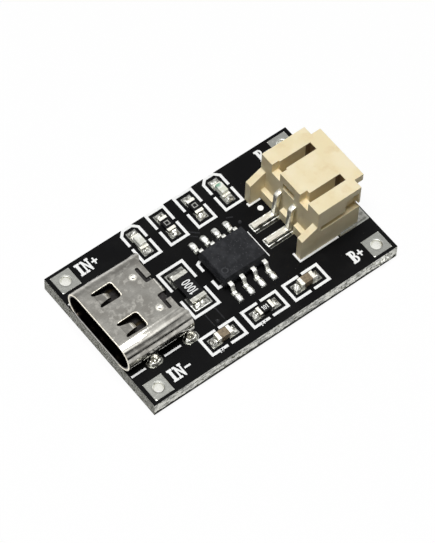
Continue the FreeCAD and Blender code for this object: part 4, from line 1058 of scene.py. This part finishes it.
def solder_dome(centre, half, height, tilt=(0, 0), squareness=3.2, lumpiness=0.18, crater=0.0):
    """Closed heap of solder on the board's face, with a crater in its top where one is asked
    for. Sizes in millimetres."""
    cx, cy = centre
    half_x, half_y = half
    vertices = []
    for ring in range(DOME_RINGS):
        share = 1 - ring / DOME_RINGS
        rise = height * (1 - share ** DOME_FLATNESS) ** DOME_STEEPNESS
        rise *= 1 - crater * max(0.0, 1 - share / CRATER_SHARE)
        for index in range(DOME_POINTS):
            angle = 2 * math.pi * index / DOME_POINTS
            c, s = math.cos(angle), math.sin(angle)
            reach = (abs(c) ** squareness + abs(s) ** squareness) ** (-1 / squareness)
            x = half_x * reach * c * share
            y = half_y * reach * s * share
            lean = 1 + tilt[0] * x / half_x + tilt[1] * y / half_y
            place = Vector((cx + x, cy + y, height))
            bump = 1 + lumpiness * noise.noise(place * DOME_PITCH)
            vertices.append((cx + x, cy + y, BOARD_TOP + max(rise * lean * bump, 0.0)))
    faces = strips(DOME_POINTS, DOME_RINGS)
    last = len(vertices) - DOME_POINTS
    top = len(vertices)
    bottom = top + 1
    vertices.append((cx, cy, BOARD_TOP + height * (1 - crater)))
    vertices.append((cx, cy, BOARD_TOP - DOME_SINK))
    for index in range(DOME_POINTS):
        following = (index + 1) % DOME_POINTS
        faces.append((last + index, last + following, top))
        faces.append((following, index, bottom))
    return vertices, faces


# %% [markdown]
# The chip's joints sit at the toe of each lead: the foot is drowned in a bead that runs out
# to the end of its pad.

# %% Chip solder
CHIP_CENTRE = (0.85, -0.5)
LEAD_PITCH = 1.27
LEAD_OFFSETS = [(index - 1.5) * LEAD_PITCH for index in range(4)]
BEAD_Y = 3.29
BEAD_HALF = (0.33, 0.53)
BEAD_HEIGHT = 0.32
BEAD_LEAN = 0.1

beads = []
for offset in LEAD_OFFSETS:
    for side in (-1, 1):
        centre = (CHIP_CENTRE[0] + offset, CHIP_CENTRE[1] + side * BEAD_Y)
        lean = (0, -BEAD_LEAN * side)
        beads.append(solder_dome(centre, BEAD_HALF, BEAD_HEIGHT, lean, squareness=2.8))
make_piece("chip_beads", beads, round_finish, ("chip_solder",))

# %% [markdown]
# Under each shell leg the solder fills the board slot and heaps up round the leg, so the
# joint is an oval collar with the steel in its middle.

# %% Leg solder
LEG_HEAP_Y = 4.52
LEG_HEAP_HALF = (0.72, 0.5)
LEG_HEAP_HEIGHT = 0.44
FILL_RADIUS = 0.285

heaps = []
for x, side in LEG_PLACES:
    centre = (x, side * LEG_HEAP_Y)
    collar = solder_dome(centre, LEG_HEAP_HALF, LEG_HEAP_HEIGHT, squareness=2.3, crater=0.7)
    heaps.append(collar)
    slot_outline = ring_points(x, side * LEG_SLOT_Y, FILL_RADIUS, LEG_SLOT_HALF)
    heaps.append(skin([at_height(slot_outline, z) for z in (0.0, BOARD_TOP)]))
make_piece("leg_heaps", heaps, solder_finish, ("leg_solder",))

# %% [markdown]
# The small parts are soldered at both ends. Their joints climb the end cap and run out over
# the pad, so each heap is tilted towards its part. A part is listed with the direction that it
# lies in, its middle and the height of its solder.

# %% Small part solder
SMALL_PARTS = [
    ("y", -4.57, 6.03, 0.26), ("y", 4.66, 6.03, 0.26), ("y", -1.52, 6.03, 0.3), ("y", 1.6, 6.03, 0.3),
    ("x", 0.05, -6.12, 0.3), ("x", -4.6, -6.12, 0.42), ("x", 4.69, -6.12, 0.42),
]
SMALL_HEAP_AT = 1.1
SMALL_HEAP_HALF = (0.34, 0.45)
SENSE_PLACE = (-4.05, -0.42)
SENSE_HEAP_AT = 1.9
SENSE_HEAP_HALF = (0.86, 0.36)
SENSE_HEAP_HEIGHT = 0.22
LEAN = 0.5


def end_heap(direction, x, y, side, height):
    """Solder at one end of a small part."""
    along, across = SMALL_HEAP_HALF
    lean = -LEAN * side
    if direction == "x":
        centre = (x + side * SMALL_HEAP_AT, y)
        return solder_dome(centre, (along, across), height, (lean, 0), lumpiness=0.5)
    centre = (x, y + side * SMALL_HEAP_AT)
    return solder_dome(centre, (across, along), height, (0, lean), lumpiness=0.5)


heaps = [
    end_heap(direction, x, y, side, height)
    for direction, x, y, height in SMALL_PARTS for side in (-1, 1)
]
make_piece("small_heaps", heaps, small_finish, ("small_solder",))

heaps = []
for side in (-1, 1):
    centre = (SENSE_PLACE[0], SENSE_PLACE[1] + side * SENSE_HEAP_AT)
    lean = (0, -LEAN * side)
    heaps.append(solder_dome(centre, SENSE_HEAP_HALF, SENSE_HEAP_HEIGHT, lean, lumpiness=0.4))
make_piece("sense_heaps", heaps, calm_finish, ("sense_solder",))

# %% [markdown]
# Solder that has no room to heap up stays as a thin raised rim along the edge of its pad. The
# two connector pins and the near end of the large resistor have such rims. A rim is a low
# rounded section, repeated at each corner of its path.

# %% Solder rims
RIM_HALF = 0.1
RIM_HEIGHT = 0.13
RIM_SECTION = [(-1.0, 0.0), (-0.75, 0.6), (0.0, 1.0), (0.75, 0.6), (1.0, 0.0)]
RIM_STEP = 0.15
RIM_PITCH = 3.0
RIM_WOBBLE = 0.5
PIN_RIM_X = (4.34, 7.3)
PIN_RIM_Y = (1.2, -0.8)
PIN_RIM_REACH = 0.42
SENSE_RIM = [(-4.96, -1.85), (-4.96, -2.66), (-3.3, -2.66)]


def fine_path(corners):
    """The same path with a point every step, so that the rim can wobble."""
    points = [corners[0]]
    for start, end in zip(corners, corners[1:]):
        count = max(1, round((Vector(end) - Vector(start)).length / RIM_STEP))
        for index in range(1, count + 1):
            spot = Vector(start).lerp(Vector(end), index / count)
            points.append((spot.x, spot.y))
    return points


def rim(corners, half_width, height, base_z):
    path = fine_path(corners)
    rings = []
    for index, place in enumerate(path):
        before = Vector(path[max(index - 1, 0)])
        after = Vector(path[min(index + 1, len(path) - 1)])
        forward = (after - before).normalized()
        sideways = Vector((-forward.y, forward.x))
        ring = []
        for shift, rise in RIM_SECTION:
            spot = Vector(place) + sideways * shift * half_width
            wobble = 1 + RIM_WOBBLE * noise.noise(Vector((spot.x, spot.y, 0.0)) * RIM_PITCH)
            ring.append((spot.x, spot.y, base_z + rise * height * wobble))
        rings.append(ring)
    return skin(rings)


rims = [rim(SENSE_RIM, RIM_HALF, RIM_HEIGHT, BOARD_TOP)]
back, front = PIN_RIM_X
for pin_y in PIN_RIM_Y:
    low = pin_y - PIN_RIM_REACH
    high = pin_y + PIN_RIM_REACH
    corners = [(front, high), (back, high), (back, low), (front, low)]
    rims.append(rim(corners, RIM_HALF, RIM_HEIGHT, BOARD_TOP))
make_piece("solder_rims", rims, round_finish)

# %% [markdown]
# The two windows in the shell's top were punched from inside, which leaves a rolled burr on
# their edges. It is far thinner than the sheet. Its near-white finish, brighter than the steel,
# is a painted highlight: a fine bright line on the far and rear edges of each window.

# %% Window burrs
WINDOW_FRONT_X = -BOARD_END + 1.3
WINDOW_REAR_X = -BOARD_END + 3.34
WINDOW_Y = 1.87
WINDOW_HALF = 0.89
CORNER_CUT = 0.26
CORNER_MIDDLE = 0.08
BURR_HALF = 0.05
BURR_HEIGHT = 0.04

burrs = []
for side in (-1, 1):
    far = side * WINDOW_Y + WINDOW_HALF
    near = side * WINDOW_Y - WINDOW_HALF
    corners = [
        (WINDOW_FRONT_X, far - 0.03), (WINDOW_REAR_X - CORNER_CUT, far),
        (WINDOW_REAR_X - CORNER_MIDDLE, far - CORNER_MIDDLE), (WINDOW_REAR_X, far - CORNER_CUT),
        (WINDOW_REAR_X, near + CORNER_CUT), (WINDOW_REAR_X - CORNER_MIDDLE, near + CORNER_MIDDLE),
    ]
    burrs.append(rim(corners, BURR_HALF, BURR_HEIGHT, top_of("input_shell")))
make_piece("window_burrs", burrs, painted_highlight_finish)

# %% [markdown]
# The rim of the socket's mouth was trimmed and rolled after the shell was drawn, and every plug
# polishes it. It is a fine bead on the sheet's end, over the top and down both round sides, and
# its near-white finish, brighter than the steel, is a painted highlight. It is swept here as a
# small round section that follows the middle of the sheet.

# %% Mouth rim
LIP_PATH_RADIUS = 1.5
LIP_RADIUS = 0.08
LIP_X = -BOARD_END + 0.02
LIP_SIDES = 8
FAR_ARC = range(-60, 91, 10)
NEAR_ARC = range(90, 271, 10)

rings = []
for centre_y, arc in ((SHELL_FLAT_HALF, FAR_ARC), (-SHELL_FLAT_HALF, NEAR_ARC)):
    for turn in arc:
        outward = math.cos(math.radians(turn))
        upward = math.sin(math.radians(turn))
        ring = []
        for side in range(LIP_SIDES):
            angle = 2 * math.pi * side / LIP_SIDES
            x = LIP_X + LIP_RADIUS * math.sin(angle)
            reach = LIP_PATH_RADIUS + LIP_RADIUS * math.cos(angle)
            ring.append((x, centre_y + reach * outward, SHELL_MIDDLE_Z + reach * upward))
        rings.append(ring)
make_piece("mouth_rim", [skin(rings)], painted_highlight_finish)

# %% [markdown]
# The board names its four wires by what they are for: input plus and minus, cell plus and
# minus. Each letter is one flat outline in a bold slab style, a unit high, drawn here from
# straight strokes. The letter B also needs round bowls, worked out from arcs. Each function
# gives the letter's loops and the room that it takes in a word.

# %% Letter outlines
STEM = 0.28
SLAB = 0.15
SIGN_HALF = 0.07


def letter_i():
    half = 0.24
    stem = STEM / 2
    return [[
        (-half, 0), (half, 0), (half, SLAB), (stem, SLAB), (stem, 1 - SLAB), (half, 1 - SLAB),
        (half, 1), (-half, 1), (-half, 1 - SLAB), (-stem, 1 - SLAB), (-stem, SLAB), (-half, SLAB),
    ]], 0.52


def letter_n():
    left = -0.42
    right = 0.42
    thin = 0.15
    return [[
        (left, 0), (left + 0.36, 0), (left + 0.36, SLAB), (left + 0.26, SLAB), (left + 0.26, 0.66),
        (right - 0.24, 0), (right - 0.1, 0), (right - 0.1, 1 - SLAB), (right, 1 - SLAB), (right, 1),
        (right - 0.34, 1), (right - 0.34, 1 - SLAB), (right - 0.1 - thin, 1 - SLAB),
        (right - 0.1 - thin, 0.38), (left + 0.24, 1), (left, 1), (left, 1 - SLAB),
        (left + 0.11, 1 - SLAB), (left + 0.11, SLAB), (left, SLAB),
    ]], 0.92


def bowl(x0, low, high, reach, count=7):
    """Right-hand half round from the low to the high point, bulging to the right."""
    middle = (low + high) / 2
    radius = (high - low) / 2
    points = []
    for index in range(count):
        angle = -math.pi / 2 + math.pi * index / (count - 1)
        points.append((x0 + reach * math.cos(angle), middle + radius * math.sin(angle)))
    return points


def letter_b():
    left = -0.34
    outer = [(left, 0)] + bowl(0.08, 0, 0.54, 0.3) + bowl(0.06, 0.5, 1, 0.26)[1:]
    outer += [(left, 1), (left, 1 - SLAB), (left + 0.08, 1 - SLAB), (left + 0.08, SLAB), (left, SLAB)]
    inner_x = left + 0.08 + STEM
    lower = [(inner_x, 0.13)] + bowl(0.06, 0.13, 0.42, 0.13) + [(inner_x, 0.42)]
    upper = [(inner_x, 0.59)] + bowl(0.04, 0.59, 0.87, 0.11) + [(inner_x, 0.87)]
    return [outer, lower, upper], 0.78


def sign_plus():
    arm = 0.27
    half = SIGN_HALF
    mid = 0.52
    return [[
        (-arm, mid - half), (-half, mid - half), (-half, mid - arm), (half, mid - arm),
        (half, mid - half), (arm, mid - half), (arm, mid + half), (half, mid + half),
        (half, mid + arm), (-half, mid + arm), (-half, mid + half), (-arm, mid + half),
    ]], 0.62


def sign_minus():
    arm = 0.3
    low = 0.5 - SIGN_HALF
    high = 0.5 + SIGN_HALF
    return [[(-arm, low), (arm, low), (arm, high), (-arm, high)]], 0.66


def digit_zero():
    turns = [2 * math.pi * index / 16 for index in range(16)]
    outer = [(0.25 * math.cos(turn), 0.5 + 0.5 * math.sin(turn)) for turn in turns]
    inner = [(0.11 * math.cos(turn), 0.5 + 0.36 * math.sin(turn)) for turn in turns]
    return [outer, inner], 0.58


def digit_one():
    return [[(-0.02, 0), (0.12, 0), (0.12, 1), (0.0, 1), (-0.18, 0.82), (-0.12, 0.72), (-0.02, 0.82)]], 0.42


# %% [markdown]
# A word is a row of letters. Each outline is filled with tessellate_polygon, lifted by the
# ink's thickness and closed with upright sides, so that the print is a real raised layer.

# %% Print words
INK_THICKNESS = 0.03
LABEL_HEIGHT = 1.34
LABEL_SQUEEZE = 0.8
LABEL_NEAR_Y = -7.25
LABEL_FAR_Y = 6.25


def runs_left(loop):
    """True where a loop of points runs anticlockwise."""
    return sum(a[0] * b[1] - b[0] * a[1] for a, b in zip(loop, loop[1:] + loop[:1])) > 0


def raised_letter(loops, base_z, thickness):
    order = [point for loop in loops for point in loop]
    count = len(order)
    vertices = at_height(order, base_z) + at_height(order, base_z + thickness)
    faces = []
    outlines = [[Vector(point) for point in at_height(loop, 0)] for loop in loops]
    for triangle in tessellate_polygon(outlines):
        face = list(triangle)
        if not runs_left([order[index] for index in face]):
            face.reverse()
        faces.append(tuple(index + count for index in face))
        faces.append(tuple(reversed(face)))
    start = 0
    for loop in loops:
        size = len(loop)
        outward = runs_left(loop) == (loop is loops[0])
        for index in range(size):
            a, b = start + index, start + (index + 1) % size
            if not outward:
                a, b = b, a
            faces.append((a, b, b + count, a + count))
        start += size
    return vertices, faces


def word(letters, start, height, heading, base_z, thickness, squeeze=1.0):
    """Row of letters from a start point, reading along the heading in radians."""
    parts = []
    cursor = 0.0
    c, s = math.cos(heading), math.sin(heading)
    for loops, advance in letters:
        middle = cursor + advance / 2
        turned = []
        for loop in loops:
            points = []
            for x, y in loop:
                along = (middle + x) * height * squeeze
                up = y * height
                points.append((start[0] + along * c - up * s, start[1] + along * s + up * c))
            turned.append(points)
        parts.append(raised_letter(turned, base_z, thickness))
        cursor += advance
    return stack(parts)


LABELS = [
    ([letter_i(), letter_n(), sign_plus()], (-10.8, LABEL_FAR_Y)),
    ([letter_i(), letter_n(), sign_minus()], (-10.8, LABEL_NEAR_Y)),
    ([letter_b(), sign_plus()], (9.3, LABEL_NEAR_Y)),
    ([letter_b(), sign_minus()], (9.4, LABEL_FAR_Y)),
]
labels = [
    word(letters, start, LABEL_HEIGHT, 0, BOARD_TOP, INK_THICKNESS, LABEL_SQUEEZE)
    for letters, start in LABELS
]
make_piece("wire_labels", labels, ink_finish, smooth=False)

# %% [markdown]
# The two marked resistors carry plain digits in thin pale ink. On the large one they read
# from the near end to the far end, and on the small one along the board.

# %% Resistor digits
SMALL_TOP = top_of("resistor_bodies")
DIGIT_THICKNESS = 0.012

large_number = [digit_one(), digit_zero(), digit_zero(), digit_zero()]
small_number = [digit_one(), digit_zero(), digit_one()]
digits = [
    word(large_number, (-3.56, -1.32), 0.94, math.pi / 2, top_of("sense_body"), DIGIT_THICKNESS, 0.76),
    word(small_number, (-0.3, -6.36), 0.46, 0, SMALL_TOP, DIGIT_THICKNESS),
]
make_piece("resistor_digits", digits, ink_finish, smooth=False)

# %% [markdown]
# The two far resistors have no marking, but the glass coat shows as a thin grey square in the
# middle of the body. It is a low square rim.

# %% Coat outlines
COAT_PLACES = [(-1.52, 6.03), (1.6, 6.03)]
COAT_HALF = 0.24
COAT_RIM = 0.08


def square(x, y, half):
    return [(x - half, y - half), (x + half, y - half), (x + half, y + half), (x - half, y + half)]


squares = []
for x, y in COAT_PLACES:
    loops = [square(x, y, COAT_HALF), square(x, y, COAT_HALF - COAT_RIM)]
    squares.append(raised_letter(loops, SMALL_TOP, DIGIT_THICKNESS))
make_piece("coat_outlines", squares, coat_edge_finish, smooth=False)

# %% [markdown]
# Copper tracks run under the mask and lift it by a few hundredths of a millimetre. They are
# almost invisible, but their edges and the filled via holes catch the light.

# %% Track relief
TRACK_FOOT_Z = BOARD_TOP - 0.01
TRACK_TOP_Z = BOARD_TOP + 0.02
TRACK_HALF = 0.08
TRACK_SLOPE = 0.03
TRACKS = [
    ((-0.43, 4.36), (0.36, 3.64)), ((-0.69, 4.03), (-0.04, 3.41)), ((-3.37, -3.35), (-3.37, -4.77)),
    ((-4.52, -3.39), (-4.52, -4.81)), ((3.19, 3.5), (3.76, 3.21)),
]
VIAS = [(-4.02, -4.54), (1.12, 2.14), (3.93, 2.42)]
VIA_PROFILE = [(0.2, TRACK_FOOT_Z), (0.16, TRACK_TOP_Z), (0.07, BOARD_TOP + 0.004)]


def track(start, end):
    direction = (Vector(end) - Vector(start)).normalized()
    sideways = Vector((-direction.y, direction.x))
    rings = []
    for half, z in ((TRACK_HALF, TRACK_FOOT_Z), (TRACK_HALF - TRACK_SLOPE, TRACK_TOP_Z)):
        shift = sideways * half
        corners = (Vector(start) - shift, Vector(end) - shift, Vector(end) + shift, Vector(start) + shift)
        rings.append(at_height(corners, z))
    return skin(rings)


reliefs = [track(start, end) for start, end in TRACKS]
reliefs += [skin([at_height(ring_points(x, y, radius), z) for radius, z in VIA_PROFILE]) for x, y in VIAS]
make_piece("track_relief", reliefs, track_finish, smooth=False)

# %% [markdown]
# Two of the printed brackets are flawed: the ink has small bare spots in its line, and drops
# of it lie beside the line. The spots and drops are flat discs.

# %% Ink flaws
BARE_SPOTS = [(-1.0, -7.08, 0.07), (-0.63, -7.06, 0.06), (-5.56, -7.07, 0.08), (-5.34, -7.1, 0.06)]
INK_DROPS = [(-1.12, -7.3, 0.06), (-0.84, -7.24, 0.05), (-5.7, -7.28, 0.06), (-5.45, -7.3, 0.04)]
DROP_TOP = BOARD_TOP + INK_THICKNESS
SPOT_TOP = DROP_TOP + 0.02


def disc(x, y, radius, top):
    outline = ring_points(x, y, radius)
    return skin([at_height(outline, BOARD_TOP), at_height(outline, top)])


spots = [disc(*spot, SPOT_TOP) for spot in BARE_SPOTS]
make_piece("bare_spots", spots, mask_finish, smooth=False)
drops = [disc(*drop, DROP_TOP) for drop in INK_DROPS]
make_piece("ink_drops", drops, ink_finish, smooth=False)

# %% [markdown]
# Standard view transform, so that colours come out as they are written.

# %% Finish
scene.view_settings.view_transform = "Standard"
